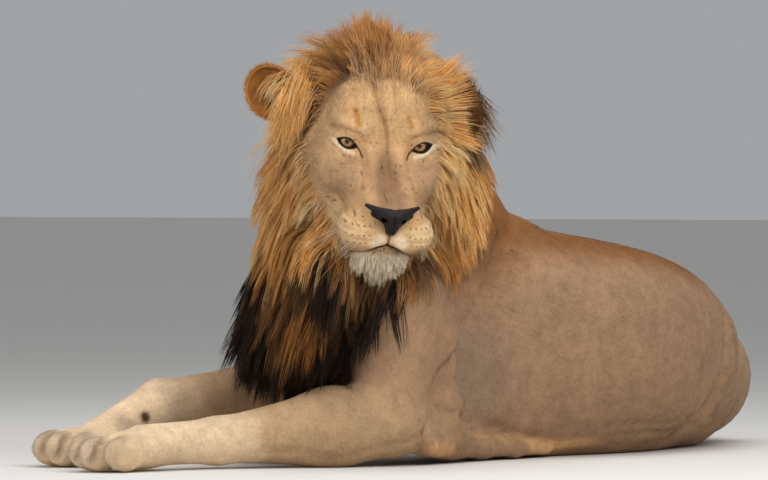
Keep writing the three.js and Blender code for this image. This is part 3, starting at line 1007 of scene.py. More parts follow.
MANE_COMBS = [
    *combs(HEAD, [
        ((-112, 76, 62), (-0.95, 0.05, 0.12), 92, "gold", "light", "crest"),
        ((-118, 100, 90), (-0.9, 0.1, 0.45), 84, "rust", "gold", "crest"),
        ((104, 66, 66), (0.7, 0.2, 0.75), 100, "gold", "light", "crest"),
        ((114, 82, 40), (0.95, 0.15, 0.35), 100, "gold", "light", "cheek_left"),
        # the crest's roots in the colour deep: darker hair, with painted shade between its strands
        ((0, 62, 104), (-0.1, 0.2, 1), 116, "deep", "rust", "crest"),
        ((-45, 62, 96), (-0.5, 0.2, 0.88), 122, "deep", "rust", "crest"),
        ((45, 62, 96), (0.35, 0.25, 0.9), 100, "deep", "gold", "crest"),
        ((-88, 62, 70), (-0.72, 0.35, 0.55), 108, "rust", "gold", "crest"),
        ((86, 62, 72), (0.9, 0.3, 0.42), 96, "gold", "light", "crest"),
        ((0, 140, 100), (0, 0.75, 0.7), 96, "umber", "rust", "crest"),
        ((0, 215, 30), (0, 0.9, -0.45), 120, "umber", "rust", "neck"),
        ((0, -92, -178), (0, -0.35, -1), 46, "chin", "white", "chin"),
        ((0, -114, -168), (0, -0.4, -1), 42, "chin", "white", "chin"),
        ((28, -100, -170), (0.3, -0.3, -1), 38, "chin", "white", "chin"),
        ((-28, -100, -170), (-0.3, -0.3, -1), 38, "chin", "white", "chin"),
        ((44, -66, -172), (0.3, 0, -1), 60, "umber", "rust", "bib"),
        ((-44, -66, -172), (-0.3, 0, -1), 60, "umber", "rust", "bib"),
        ((0, -64, -176), (0, 0, -1), 64, "dark", "umber", "bib"),
        ((20, -60, -176), (0.1, 0, -1), 64, "dark", "umber", "bib"),
        ((-20, -60, -176), (-0.1, 0, -1), 64, "dark", "umber", "bib"),
        ((0, -30, -172), (0, 0.05, -1), 90, "dark", "umber", "bib"),
    ]),
    *both(head_mane),
    *combs(BODY, [
        ((110, -30, 440), (0.45, 0, -0.9), 60, "umber", "rust", "neck"),
        ((230, 20, 400), (0.5, 0, -0.85), 34, "rust", "rust", "neck"),
        ((290, 20, 340), (0.5, 0, -0.85), 26, "rust", "tan", "neck"),
        ((340, 50, 400), (0.6, 0, -0.75), 22, "rust", "spine", "neck"),
        ((380, 70, 330), (0.6, 0, -0.78), 18, "spine", "tan", "neck"),
        ((200, 140, 560), (0.85, 0, -0.3), 84, "umber", "rust", "neck"),
        ((340, 165, 500), (0.88, 0, -0.42), 50, "umber", "rust", "neck"),
        ((430, 160, 440), (0.9, 0, -0.35), 28, "spine", "spine", "neck"),
        ((140, 250, 440), (0.5, 0.4, -0.78), 100, "umber", "rust", "neck"),
        ((300, 290, 380), (0.6, 0.3, -0.74), 66, "umber", "rust", "neck"),
        ((-50, 60, 330), (-0.3, 0.05, -0.95), 130, "black", "dark", "bib"),
        ((-60, 140, 300), (-0.3, 0.15, -0.94), 140, "dark", "umber", "bib"),
        ((-40, 220, 270), (-0.3, 0.3, -0.9), 130, "black", "dark", "bib"),
        ((30, 280, 250), (-0.25, 0.45, -0.86), 110, "black", "dark", "bib"),
        ((30, 20, 300), (-0.4, 0.1, -0.9), 110, "black", "dark", "bib"),
        ((-20, 100, 240), (-0.3, 0.15, -0.94), 120, "black", "dark", "bib"),
        ((-70, 100, 270), (-0.32, 0.12, -0.94), 130, "streak", "streak", "bib"),
        ((0, 180, 180), (-0.2, 0.1, -1), 90, "black", "dark", "bib"),
    ]),
]
TUFT_COMBS = [
    *combs(BODY, [
        (TAIL[-2], Vector(TAIL[-1]) - Vector(TAIL[-2]), 90, "dark", "black", "tuft"),
        (TAIL[-1], Vector(TAIL[-1]) - Vector(TAIL[-2]), 70, "black", "black", "tuft"),
    ]),
]


def comb_shares(points, lie):
    """How much each comb says at each point: the nearest say most."""
    spots = np.array([c.at for c in lie])
    gaps = ((points[:, None, :] - spots[None]) ** 2).sum(2)
    shares = (gaps + 300.0) ** -2.5
    return shares / shares.sum(1, keepdims=True)


def sharpened(shares):
    """Shares for colours, which change from one comb to the next more suddenly than the lie does."""
    strong = shares**2.2
    return strong / strong.sum(1, keepdims=True)


# ---------------------------------------------------------------- roots on the skin

Roots = namedtuple("Roots", "points normals uv")


def skin_triangles(mesh):
    """The skin's triangles as arrays: corner places, corner normals and corner UVs."""
    mesh.calc_loop_triangles()
    count = len(mesh.loop_triangles)
    corners = np.empty(count * 3, np.int32)
    mesh.loop_triangles.foreach_get("vertices", corners)
    loops = np.empty(count * 3, np.int32)
    mesh.loop_triangles.foreach_get("loops", loops)
    uv = np.empty(len(mesh.loops) * 2)
    mesh.uv_layers["OFBake"].data.foreach_get("uv", uv)
    shape = (count, 3, -1)
    points = get_points(mesh)[corners].reshape(shape)
    normals = get_normals(mesh)[corners].reshape(shape)
    return points, normals, uv.reshape(-1, 2)[loops].reshape(shape)


def scatter(triangles, weight, count):
    """Roots spread over the skin, as thickly as weight, a function of points, says."""
    points, normals, uv = triangles
    area = np.linalg.norm(np.cross(points[:, 1] - points[:, 0], points[:, 2] - points[:, 0]), axis=1) / 2
    share = area * weight(points.mean(1))
    picks = rng.choice(len(points), count, p=share / share.sum())
    a, b = rng.random((2, count))
    a, b = np.where(a + b > 1, 1 - a, a), np.where(a + b > 1, 1 - b, b)
    mix = np.stack([1 - a - b, a, b], 1)[:, :, None]
    at = [(corner[picks] * mix).sum(1) for corner in (points, normals, uv)]
    return Roots(at[0], unit(at[1]), at[2])


def mane_share(points):
    """1 where long hair grows and 0 on the face and the short coat."""
    region = soft_union([mass.distance(points) for mass in MANE_REACH], 10)
    covered = smooth(-4, -26, region)
    head = group_distance(FLESH[0], points) < 6
    off_face = smooth(-12, 12, beyond_hairline(points))
    return np.where(head, off_face, covered * off_face)


def mane_weight(points):
    """How thickly long hair grows: thickest on the chin."""
    chin = np.linalg.norm(points - out_of(HEAD, (0, -90, -176)), axis=1)
    return mane_share(points) * (1 + 2 * near_face(points) + 4 * smooth(60, 40, chin))


def near_face(points):
    """1 on the head's own hair, 0 further back and down, where fewer and thicker hairs will do."""
    x, y, z = into(HEAD, points).T
    return smooth(190, 110, np.hypot(x, y - 20)) * smooth(-190, -140, z)


MANE_REACH = [
    egg((82, 102, 492), (192, 192, 186)),
    egg((205, 142, 436), (176, 172, 176)),
    egg((322, 172, 378), (124, 116, 124)),
    egg((20, 96, 330), (150, 130, 110)),
    egg((24, 180, 270), (116, 138, 110)),
    egg((10, 190, 200), (70, 110, 70)),
]


# ---------------------------------------------------------------- hairs as solid mesh


SHEEN = 0.85  # how far a hair catches the light as the skin beneath it does
MAP_PATCH = 0.003  # the side of a hair's place in the coat's map
MAP_SKEW = 0.0003
MOST_TRIANGLES = 190000  # the coat's pieces hold no more than this
BODY_TUFTS = 60000
FACE_TUFTS = 36000
MANE_HAIRS = 46000
TUFT_HAIRS = 900
EAR_TUFTS = 5200
EAR_STRANDS = 140
LOCK_STARTS = 1500  # in each loose tuft round the ears
# Long hairs have five points from root to tip, and are this thick at each, in millimetres.
MANE_RADII = np.array([0.5, 0.64, 0.58, 0.4, 0])
TUFT_RADII = np.array([0.8, 1.0, 0.9, 0.6, 0])
STRAND_RADII = np.array([0.45, 0.55, 0.5, 0.32, 0])


def hair_faces(rings):
    """The faces of one hair: its closed root, its three sides and its tip."""
    faces = [(2, 1, 0)]
    for r in range(rings - 1):
        for k in range(3):
            a, b = r * 3 + k, r * 3 + (k + 1) % 3
            faces += [(a, b, b + 3), (a, b + 3, a + 3)]
    last = (rings - 1) * 3
    faces += [(last + k, last + (k + 1) % 3, rings * 3) for k in range(3)]
    return np.array(faces)


def hair_patch(rings):
    """Where one hair's points lie in the coat's map, from its root's place."""
    sides = [(k * 0.5 * MAP_PATCH, r / rings * MAP_PATCH - (k == 1) * MAP_SKEW)
             for r in range(rings) for k in range(3)]
    return np.array([*sides, (0.5 * MAP_PATCH, MAP_PATCH)])


def hair_mesh(name, paths, radii, colours, roots):
    """Closed three-sided hairs in one mesh. paths is hairs x points x 3, and each ends in a tip."""
    hairs, steps = paths.shape[:2]
    rings = steps - 1
    tangent = unit(np.diff(paths, axis=1))
    tangent = np.concatenate([tangent[:, :1], tangent], 1)[:, :rings]
    side = unit(np.cross(tangent, np.array([0.31, 0.52, 0.79])))
    over = np.cross(tangent, side)
    turns = np.arange(3) * 2 * np.pi / 3
    ring = side[:, :, None] * np.cos(turns)[:, None] + over[:, :, None] * np.sin(turns)[:, None]
    ring = paths[:, :rings, None] + ring * radii[:, :rings, None, None]
    points = np.concatenate([ring.reshape(hairs, rings * 3, 3), paths[:, -1:]], 1)
    points[:, :, 2] = np.maximum(points[:, :, 2], FLOOR_GAP * 0.5)
    per_hair = rings * 3 + 1
    faces = (hair_faces(rings)[None] + np.arange(hairs)[:, None, None] * per_hair).reshape(-1, 3)
    mesh = mesh_of(name, points.reshape(-1, 3), faces)
    shade = np.concatenate([np.repeat(colours[:, :rings], 3, 1), colours[:, -1:]], 1).reshape(-1, 3)
    paint(mesh, shade)
    spots = (roots.uv[:, None] + hair_patch(rings)[None]).reshape(-1, 2)[faces.ravel()]
    mesh.uv_layers.new(name="OFBake").data.foreach_set("uv", spots.ravel())
    own_normals = get_normals(mesh).reshape(hairs, -1, 3)
    blended = unit(own_normals * (1 - SHEEN) + roots.normals[:, None] * SHEEN)
    mesh.normals_split_custom_set_from_vertices(blended.reshape(-1, 3))
    return mesh


def paint(mesh, colours):
    """Stores a colour at each vertex, which the coat's materials read."""
    layer = mesh.color_attributes.new("Markings", "FLOAT_COLOR", "POINT")
    layer.data.foreach_set("color", np.column_stack([colours, np.ones(len(colours))]).ravel())


def add_piece(name, mesh, material, replaces=()):
    """Puts a finished mesh in the model, in metres, riding on the one body."""
    mesh.name = name
    mesh.transform(TO_MODEL)
    mesh.materials.clear()
    mesh.materials.append(material)
    piece = bpy.data.objects.new(name, mesh)
    bpy.context.scene.collection.objects.link(piece)
    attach(piece, "root")
    if replaces:
        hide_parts(*replaces)
    return piece


def some(roots, rows):
    return Roots(*[part[rows] for part in roots])


def add_coat(name, paths, radii, colours, roots, material, replaces=()):
    """Adds hairs as one piece, or as a few where one would hold too many triangles."""
    each = len(hair_faces(paths.shape[1] - 1))
    pieces = math.ceil(len(paths) * each / MOST_TRIANGLES)
    for n, rows in enumerate(np.array_split(np.arange(len(paths)), pieces)):
        own_name = name if pieces == 1 else f"{name}_{n + 1}"
        mesh = hair_mesh(own_name, paths[rows], radii[rows], colours[rows], some(roots, rows))
        add_piece(own_name, mesh, material, replaces if n == 0 else ())


def short_hairs(roots, lie, lift, thickness, longer):
    """Straight tufts that lie along the skin: each has a root, under the skin, and a tip."""
    shares = comb_shares(roots.points, lie)
    ways = unit(shares @ np.array([c.way for c in lie]) + rng.normal(0, 0.14, roots.points.shape))
    lengths = shares @ np.array([c.length for c in lie]) * rng.uniform(0.75, 1.3, len(ways)) * longer
    flat = unit(ways - (ways * roots.normals).sum(1, keepdims=True) * roots.normals)
    rise = np.radians(rng.uniform(*lift, len(ways)))[:, None]
    ways = flat * np.cos(rise) + roots.normals * np.sin(rise)
    base = roots.points - roots.normals * 0.8
    paths = np.stack([base, base + ways * lengths[:, None]], 1)
    radii = np.tile((lengths * thickness)[:, None], (1, 2))
    return paths, radii


def make_short_coat(triangles, material):
    """The short coat of the body, the legs and the face."""

    def body_weight(points):
        head = group_distance(FLESH[0], points) < 8
        return (1 - mane_share(points)) * (points[:, 2] > 4) * ~head

    def face_weight(points):
        head = group_distance(FLESH[0], points) < 8
        gaps = [lid_gap(points, s) for s in SIDES.values()]
        open_eye = np.minimum(*[gap + 60 * (depth > 10) for gap, depth in gaps])
        return (1 - mane_share(points)) * head * (open_eye > 3)

    for name, weight, count, lift, thickness in (
        ("body", body_weight, BODY_TUFTS, (1, 6), 0.022),
        ("face", face_weight, FACE_TUFTS, (3, 14), 0.07),
    ):
        roots = scatter(triangles, weight, count)
        upper_face = smooth(-80, -40, into(HEAD, roots.points)[:, 2]) * (name == "face")
        near_mane = smooth(-26, 2, beyond_hairline(roots.points)) * upper_face
        paths, radii = short_hairs(roots, SHORT_COMBS, lift, thickness, 1 + 1.5 * near_mane)
        base = painted(roots.points) * rng.normal(1, 0.14, (count, 1))
        colours = np.stack([base, base * 1.1], 1)
        add_coat(f"coat_{name}", paths, radii, colours, roots, material)


def skin_slope(points, groups):
    """The way off the skin, and how far off it points are."""
    here = skin_distance(points, groups)
    slopes = [skin_distance(points + np.eye(3)[axis] * 2.0, groups) - here for axis in range(3)]
    return unit(np.stack(slopes, 1)), here


def clump_of(points, size):
    """Shares hairs out to clumps: the hair at the middle of each hair's clump."""
    leaders = rng.choice(len(points), max(len(points) // size, 1), replace=False)
    near = np.empty(len(points), int)
    for rows in np.array_split(np.arange(len(points)), len(points) // 2000 + 1):
        gaps = ((points[rows][:, None] - points[leaders][None]) ** 2).sum(2)
        near[rows] = gaps.argmin(1)
    return leaders, near


def long_hairs(roots, lie, steps=5, droop=0.5, clump=12, gather=0.58, layer=22, wild=0.13):
    """Locks that follow the combs from the skin, droop, and gather into points."""
    count = len(roots.points)
    leaders, mine = clump_of(roots.points, clump)
    lock_turn = rng.normal(0, wild, (len(leaders), 3))[mine]
    own_turn = rng.normal(0, wild * 0.35, (count, 3))
    shares = comb_shares(roots.points, lie)
    lock_length = rng.uniform(0.72, 1.15, len(leaders))[mine]
    lengths = shares @ np.array([c.length for c in lie]) * lock_length * rng.uniform(0.8, 1.1, count)
    lengths *= 0.36 + 0.64 * smooth(-14, 38, beyond_hairline(roots.points))
    height = rng.uniform(0.15, 1, len(leaders))[mine] * layer * np.minimum(lengths / 110, 1)
    ways_at = np.array([c.way for c in lie])
    groups = [g for g in FLESH if g.name in ("head", "neck", "trunk") or g.name.startswith("foreleg")]
    paths = [roots.points - roots.normals * 2]
    for n in range(steps - 1):
        t = (n + 1) / (steps - 1)
        ways = comb_shares(paths[-1], lie) @ ways_at + lock_turn + own_turn
        ways[:, 2] -= droop * t * t
        spot = paths[-1] + unit(ways) * (lengths / (steps - 1))[:, None]
        off, gap = skin_slope(spot, groups)
        spot += off * np.maximum(height * smooth(0, 0.5, t) + 1 - gap, 0)[:, None]
        paths.append(spot)
    paths = np.stack(paths, 1)
    pull = gather * np.linspace(0, 1, steps)[None, :, None] ** 1.3
    paths += (paths[leaders][mine] - paths) * pull
    return paths, shares, mine


def deepened(colours, depth):
    """Hair colours that grow darker and richer as depth rises over 1, and paler under it."""
    return np.clip(colours, 0.001, 1) ** depth


def make_mane(triangles, material, dark_material):
    """The long hair in its regions, which takes the face's own colours where it meets the face."""
    roots = scatter(triangles, mane_weight, MANE_HAIRS)
    paths, shares, mine = long_hairs(roots, MANE_COMBS)
    t = np.linspace(0, 1, paths.shape[1])[None, :, None]
    regions = np.array([c.region for c in MANE_COMBS])[shares.argmax(1)]
    off_chin = np.array([c.region != "chin" for c in MANE_COMBS])
    hues = sharpened(shares * (off_chin | (regions == "chin")[:, None]))  # the chin's white stays on the chin
    root = hues @ np.array([c.root for c in MANE_COMBS])
    tip = hues @ np.array([c.tip for c in MANE_COMBS])
    colours = root[:, None] * (1 - t) + tip[:, None] * t
    at_face = 0.4 * (1 - smooth(-8, 34, beyond_hairline(roots.points)))[:, None, None] * (1 - 0.5 * t)
    at_face *= smooth(-165, -125, into(HEAD, roots.points)[:, 2])[:, None, None]  # none on the throat
    colours += (painted(roots.points)[:, None] - colours) * at_face
    depth = rng.normal(0.96, 0.12, mine.max() + 1)[mine] * rng.normal(1, 0.08, len(paths))
    colours = deepened(colours, depth[:, None, None])
    radii = MANE_RADII[None] * rng.uniform(0.7, 1.15, (len(paths), 1))
    radii *= 1 - 0.25 * near_face(roots.points)[:, None]
    for region, nodes in (
        ("crest", ["mane_crest"]),
        ("cheek_left", ["mane_cheek_left"]),
        ("cheek_right", ["mane_cheek_right"]),
        ("neck", ["mane_neck"]),
        ("bib", ["mane_bib"]),
        ("chin", []),
    ):
        rows = np.flatnonzero(regions == region)
        dark = region == "bib"
        add_coat(f"mane_hair_{region}", paths[rows], radii[rows], colours[rows], some(roots, rows),
                 dark_material if dark else material, nodes)


def make_tail_tuft(triangles, material):
    """The dark brush at the tail's end."""

    def at_end(points):
        return smooth(170, 90, np.linalg.norm(points - np.array(TAIL[-1]), axis=1))

    roots = scatter(triangles, at_end, TUFT_HAIRS)
    paths = long_hairs(roots, TUFT_COMBS, droop=0.1, layer=14)[0]
    t = np.linspace(0, 1, paths.shape[1])[None, :, None]
    colours = COLOURS["dark"] * (1 - t) + COLOURS["black"] * t + np.zeros((len(paths), 1, 1))
    radii = np.tile(TUFT_RADII, (len(paths), 1))
    add_coat("tail_tuft_hair", paths, radii, colours, roots, material, ["tail_tuft"])


# ---------------------------------------------------------------- eyes, nose, ears and whiskers

RIM_REACH = 20.6  # from the eyeball's centre to the middle of the lids' rim
RIM_THICKNESS = 1.35
CORNEA = 34  # degrees from the line of sight to the edge of the clear bulge
BULGE = 1.3


def add_sphere(bm, **shape):
    """A sphere whose faces come in the same order in each run, as the operator's own do not."""
    rough = bmesh.new()
    bmesh.ops.create_uvsphere(rough, **shape)
    rough.verts.index_update()
    rows = []
    for face in rough.faces:
        corners = [vert.index for vert in face.verts]
        first = corners.index(min(corners))
        rows.append(corners[first:] + corners[:first])
    verts = [bm.verts.new(vert.co) for vert in rough.verts]
    for row in sorted(rows):
        bm.faces.new([verts[n] for n in row])
    rough.free()


def make_eye(name, side, material):
    """An eyeball whose pole looks along the gaze, with the cornea standing proud of it."""
    bm = bmesh.new()
    add_sphere(bm, u_segments=48, v_segments=64, radius=EYE_RADIUS)
    layer = bm.loops.layers.uv.new("Iris")
    for vert in bm.verts:
        angle = math.degrees(vert.co.angle(Vector((0, 0, 1))))
        vert.co *= 1 + BULGE / EYE_RADIUS * max(0.0, 1 - (angle / CORNEA) ** 2)
    for face in bm.faces:
        face.smooth = True
        middle = face.calc_center_median()
        home = math.atan2(middle.y, middle.x)
        for loop in face.loops:
            co = loop.vert.co
            turn = home if co.xy.length < 1e-4 else math.atan2(co.y, co.x)
            turn += 2 * math.pi * round((home - turn) / (2 * math.pi))
            loop[layer].uv = (turn / (2 * math.pi), math.degrees(co.angle(Vector((0, 0, 1)))) / 180)
    look = Vector(turned(HEAD, GAZE)[0])
    centre = HEAD @ Vector((side * EYE_SPREAD, EYE_SET, 0))
    bm.transform(Matrix.Translation(centre) @ look.to_track_quat("Z", "Y").to_matrix().to_4x4())
    mesh = bpy.data.meshes.new(name)
    bm.to_mesh(mesh)
    bm.free()
    add_piece(f"eyeball_{name}", mesh, material, [f"eye_{name}"])


def make_lid_rim(name, side, material):
    """The bare dark rim of both lids."""
    points = []
    for turn in np.linspace(0, 2 * np.pi, 48, endpoint=False):
        x = LID_HALF * math.cos(turn)
        rise = LID_RISE if math.sin(turn) > 0 else LID_DROP
        z = math.copysign(rise * (1 - (x / LID_HALF) ** 2), math.sin(turn))
        points.append((side * x, -math.sqrt(max(RIM_REACH**2 - x * x - z * z, 1)), z))
    line_points = out_of(EYE_PLACES[side], points)
    curve = bpy.data.curves.new(name, "CURVE")
    curve.dimensions = "3D"
    curve.bevel_depth = RIM_THICKNESS
    curve.bevel_resolution = 3
    spline = curve.splines.new("POLY")
    spline.points.add(len(line_points) - 1)
    spline.points.foreach_set("co", np.column_stack([line_points, np.ones(len(points))]).ravel())
    spline.use_cyclic_u = True
    tube = bpy.data.objects.new(name, curve)
    mesh = bpy.data.meshes.new_from_object(tube)
    bpy.data.objects.remove(tube)
    shade_smooth(mesh)
    add_piece(f"lid_rim_{name}", mesh, material)


NOSE = [
    egg((0, -140, -72), (23, 19, 13), HEAD),
    egg((0, -143, -86), (11, 13, 17), HEAD),
    *both(lambda s: [bar((s * 12, -146, -67), (s * 43, -127, -59), 9, 3, HEAD)]),
]
NOSTRILS = both(lambda s: [
    bar((s * 15, -170, -76), (s * 17, -142, -72), 5, 4.5, HEAD),
    bar((s * 18, -164, -76), (s * 46, -136, -65), 3.2, 2.0, HEAD),
])


def nose_distance(points):
    leather = soft_union([mass.distance(points) for mass in NOSE], 4)
    holes = soft_union([mass.distance(points) for mass in NOSTRILS], 2)
    middle = into(HEAD, points)
    groove = 2.2 * np.exp(-((middle[:, 0] / 1.8) ** 2)) * (middle[:, 2] < -66)
    return np.maximum(leather + groove, -holes)


def make_nose(material):
    """The leather of the nose, with the nostrils hollowed out of it."""
    mesh = shell_of(NOSE, 1.0)
    for n in range(8):
        points = get_points(mesh)
        step = np.clip(nose_distance(points), -2, 2)
        set_points(mesh, points - get_normals(mesh) * step[:, None] * 0.8)
        if n == 4:
            relax(mesh, 1)
    shade_smooth(mesh)
    add_piece("nose_leather", mesh, material, ["nose"])


EARS = {
    "left": place((162, 118, 30), yaw=118, pitch=-6, roll=24, parent=HEAD),
    "right": place((-172, 112, 34), yaw=-24, pitch=-6, roll=-30, parent=HEAD),
}
EAR_RADII = (43, 26, 48)


def make_ear(name, side, bvh, skin_uv, material):
    """A round cup: the front of a ball is pressed back into it, which leaves a thin wall and a rim."""
    bm = bmesh.new()
    on_its_side = Matrix.Rotation(math.pi / 2, 4, "X")
    add_sphere(bm, u_segments=56, v_segments=40, radius=1, matrix=on_its_side)
    for vert in bm.verts:
        if vert.co.y < 0:
            vert.co.y = -vert.co.y * 0.80 - 0.10
            vert.co.x *= 0.93
            vert.co.z *= 0.93
    bm.transform(EARS[name] @ Matrix.Diagonal((*EAR_RADII, 1)))
    soften(bm)
    bmesh.ops.recalc_face_normals(bm, faces=bm.faces)
    bmesh.ops.triangulate(bm, faces=bm.faces)
    mesh = bpy.data.meshes.new(f"ear_skin_{name}")
    bm.to_mesh(mesh)
    bm.free()
    shade_smooth(mesh)
    paint(mesh, ear_colours(get_points(mesh), name))
    make_ear_coat(mesh, name, side, bvh, skin_uv, material)
    add_piece(f"ear_skin_{name}", mesh, material, [f"ear_{name}"])


def ear_colours(points, name):
    """Orange at the rim, painted shade that darkens the bowl towards its hollow, and dark on the back."""
    x, y, z = into(EARS[name], points).T
    rim = smooth(0.4, 0.85, np.hypot(x / EAR_RADII[0], z / EAR_RADII[2]))[:, None]
    # the inside dimmed to 0.75 and turned dark towards the hollow: painted shade in the bowl
    depth = smooth(38, 14, np.hypot(x + SIDES[name] * 8, z + 20))[:, None]
    inside = COLOURS["ear"] * 0.75 * (1 - depth) + COLOURS["dark"] * depth
    bowl = inside * (1 - rim) + COLOURS["ear" if name == "right" else "umber"] * rim
    back = smooth(12, 20, y)[:, None] * (0.9 if name == "left" else 0.35)
    return bowl * (1 - back) + COLOURS["shadow"] * back


def make_ear_coat(mesh, name, side, bvh, skin_uv, material):
    """Short fur on the rim and the back of an ear, and long pale strands over its bowl."""
    mesh.calc_loop_triangles()
    corners = np.empty(len(mesh.loop_triangles) * 3, np.int32)
    mesh.loop_triangles.foreach_get("vertices", corners)
    shape = (len(mesh.loop_triangles), 3, -1)
    points, normals = (part[corners].reshape(shape) for part in (get_points(mesh), get_normals(mesh)))
    own = EARS[name]

    def rim_and_back(spots):
        x, y, z = into(own, spots).T
        reach = np.hypot(x / EAR_RADII[0], z / EAR_RADII[2])
        return np.where(y > 8, 1.0, smooth(0.6, 0.8, reach) * 1.6 + 0.15)

    roots = scatter((points, normals, np.zeros((*points.shape[:2], 2))), rim_and_back, EAR_TUFTS)
    spots = into(own, roots.points)
    outward = unit(np.stack([spots[:, 0] * 0.6, np.full(len(spots), 22.0), spots[:, 2] * 0.6 + 26], 1))
    ways = turned(own, outward + rng.normal(0, 0.16, outward.shape))
    flat = unit(ways - (ways * roots.normals).sum(1, keepdims=True) * roots.normals + roots.normals * 0.12)
    lengths = rng.uniform(6, 13, (len(ways), 1)) * (2 if name == "left" else 1)
    paths = np.stack([roots.points - roots.normals, roots.points + flat * lengths], 1)
    colours = ear_colours(roots.points, name) * rng.normal(1, 0.12, (len(ways), 1))
    colours = np.stack([colours * 0.8, colours * 1.15], 1)
    own_roots = roots._replace(uv=nearest_uv(roots.points, bvh, skin_uv))
    add_coat(f"ear_fur_{name}", paths, np.full((len(ways), 2), 0.45), colours, own_roots, material)

    starts = rng.uniform((14, -8, -16), (42, 4, 32), (EAR_STRANDS, 3)) * (-side, 1, 1)
    ways = rng.normal((side * 0.85, -0.3, -0.1), (0.1, 0.1, 0.25), (EAR_STRANDS, 3))
    add_strands(f"ear_strands_{name}", EARS[name], (starts, ways), (26, 52), (side * 0.1, 0.25, -0.5),
                "strand", (0.8, 1.7), (0, -1, 0.2), bvh, skin_uv, material)


def add_strands(name, parent, starts_and_ways, lengths, bow, colour, shades, facing, bvh, skin_uv, material):
    """Loose locks from starts along ways, which bow one way as they reach out and gather into points."""
    starts, ways = starts_and_ways
    count = len(starts)
    lengths = rng.uniform(*lengths, (count, 1))
    t = np.linspace(0, 1, len(STRAND_RADII))[None, :, None]
    straight = starts[:, None] + unit(ways)[:, None] * lengths[:, None] * t
    local = straight + np.array(bow) * lengths[:, None] * t**2
    paths = out_of(parent, local.reshape(-1, 3)).reshape(local.shape)
    leaders, mine = clump_of(paths[:, 0], 14)
    paths += (paths[leaders][mine] - paths) * 0.5 * t
    depth = rng.uniform(*shades, len(leaders))[mine] * rng.normal(1, 0.12, count)
    # each strand darkens towards its root: painted shade inside the lock
    colours = deepened(COLOURS[colour], depth[:, None, None] * (1.2 - 0.25 * t))
    radii = STRAND_RADII[None] * rng.uniform(0.7, 1.1, (count, 1))
    normals = np.repeat(turned(parent, facing), count, 0)
    own_roots = Roots(paths[:, 0], normals, nearest_uv(paths[:, 0], bvh, skin_uv))
    add_coat(name, paths, radii, colours, own_roots, material)


def sweep(triangles, at, radii, count, way_low, way_high, wild):
    """Starts on the skin inside an egg on the head, and ways that change from its foot to its top."""
    inside = egg(at, radii, HEAD).distance
    starts = into(HEAD, scatter(triangles, lambda points: smooth(6, -6, inside(points)), count).points)
    rise = np.clip((starts[:, 2:] - at[2]) / radii[2] * 0.5 + 0.5, 0, 1)
    ways = np.array(way_low) * (1 - rise) + np.array(way_high) * rise
    return starts, ways + rng.normal(0, wild, (count, 3))


def make_temple_tufts(triangles, bvh, skin_uv, material, dark_material):
    """Golden hair that sweeps over both ears, and the dark hair that hangs behind the left one."""
    count = LOCK_STARTS
    low, high = (0.92, 0.2, -0.35), (0.42, 0.4, 0.8)
    over_left = sweep(triangles, (104, 74, 50), (40, 34, 50), count, low, high, 0.08)
    add_strands("temple_tuft_left", HEAD, over_left, (66, 116), (0.05, 0.1, -0.12), "lock", (0.72, 1.1),
                (0.3, -0.9, 0.3), bvh, skin_uv, material)
    starts = rng.normal((-126, 98, 50), (9, 7, 17), (count, 3))
    ways = rng.normal((-0.5, -0.45, -0.72), 0.17, (count, 3))
    add_strands("temple_tuft_right", HEAD, (starts, ways), (36, 92), (0.15, 0.1, -0.3), "lock", (0.72, 1.15),
                (-0.3, -0.9, 0.3), bvh, skin_uv, material)
    starts = rng.uniform((126, 92, -50), (182, 140, 60), (count, 3))
    ways = rng.normal((0.6, 0.15, -0.75), 0.22, (count, 3))
    add_strands("ear_back_tuft", HEAD, (starts, ways), (28, 72), (0.1, 0, -0.2), "shadow", (0.8, 1.4),
                (0.5, -0.8, 0.2), bvh, skin_uv, dark_material)


def nearest_uv(points, bvh, skin_uv):
    """The skin's unwrap at the places on it nearest to points."""
    faces = [bvh.find_nearest(Vector(point))[2] for point in points]
    return skin_uv[faces].mean(1)


def make_whiskers(tree, skin_uv, material):
    """Long pale bristles from the rows on each pad, drooping as they reach out."""
    ahead = Vector(turned(HEAD, (0, 1, 0))[0])
    roots, ways, lengths = [], [], []
    for s in SIDES.values():
        for x, z in list(whisker_spots(s))[1::2]:
            hit = tree.ray_cast(Vector(out_of(HEAD, (x, -260, z))[0]), ahead)[0]
            roots.append(np.array(hit + ahead))
            way = (s * rng.uniform(0.7, 1.0), rng.uniform(-0.1, 0.3), rng.uniform(-0.8, -0.25))
            ways.append(turned(HEAD, way)[0])
            lengths.append(rng.uniform(50, 120) if s < 0 else rng.uniform(36, 76))
    t = np.linspace(0, 1, 9)[None, :, None]
    roots, ways, lengths = np.array(roots)[:, None], np.array(ways)[:, None], np.array(lengths)[:, None, None]
    paths = roots + ways * lengths * t + np.array([0, 0, -0.34]) * lengths * t**2
    radii = 0.42 * (1 - t[:, :, 0] * 0.85) + np.zeros((len(paths), 1))
    colours = np.tile(linear("e9dcc4"), (len(paths), t.shape[1], 1))
    own_roots = Roots(roots[:, 0], unit(ways[:, 0]), nearest_uv(roots[:, 0], tree, skin_uv))
    add_coat("whiskers", paths, radii, colours, own_roots, material)


# ---------------------------------------------------------------- materials


def node(tree, kind, settings=None, links=None):
    """Adds a node, sets its values and joins its inputs to other nodes' outputs."""
    new = tree.nodes.new(kind)
    for key, value in (settings or {}).items():
        if key in new.inputs:
            new.inputs[key].default_value = value
        else:
            setattr(new, key, value)
    for key, source in (links or {}).items():
        tree.links.new(source, new.inputs[key])
    return new


def new_material(name):
    material = bpy.data.materials.new(name)
    material.use_nodes = True
    tree = material.node_tree
    tree.nodes.clear()
    shader = node(tree, "ShaderNodeBsdfPrincipled")
    node(tree, "ShaderNodeOutputMaterial", links={"Surface": shader.outputs[0]})
    return material, tree, shader


def per_metre(millimetres):
    """A noise or cell scale that gives features of this size."""
    return 1000 / millimetres


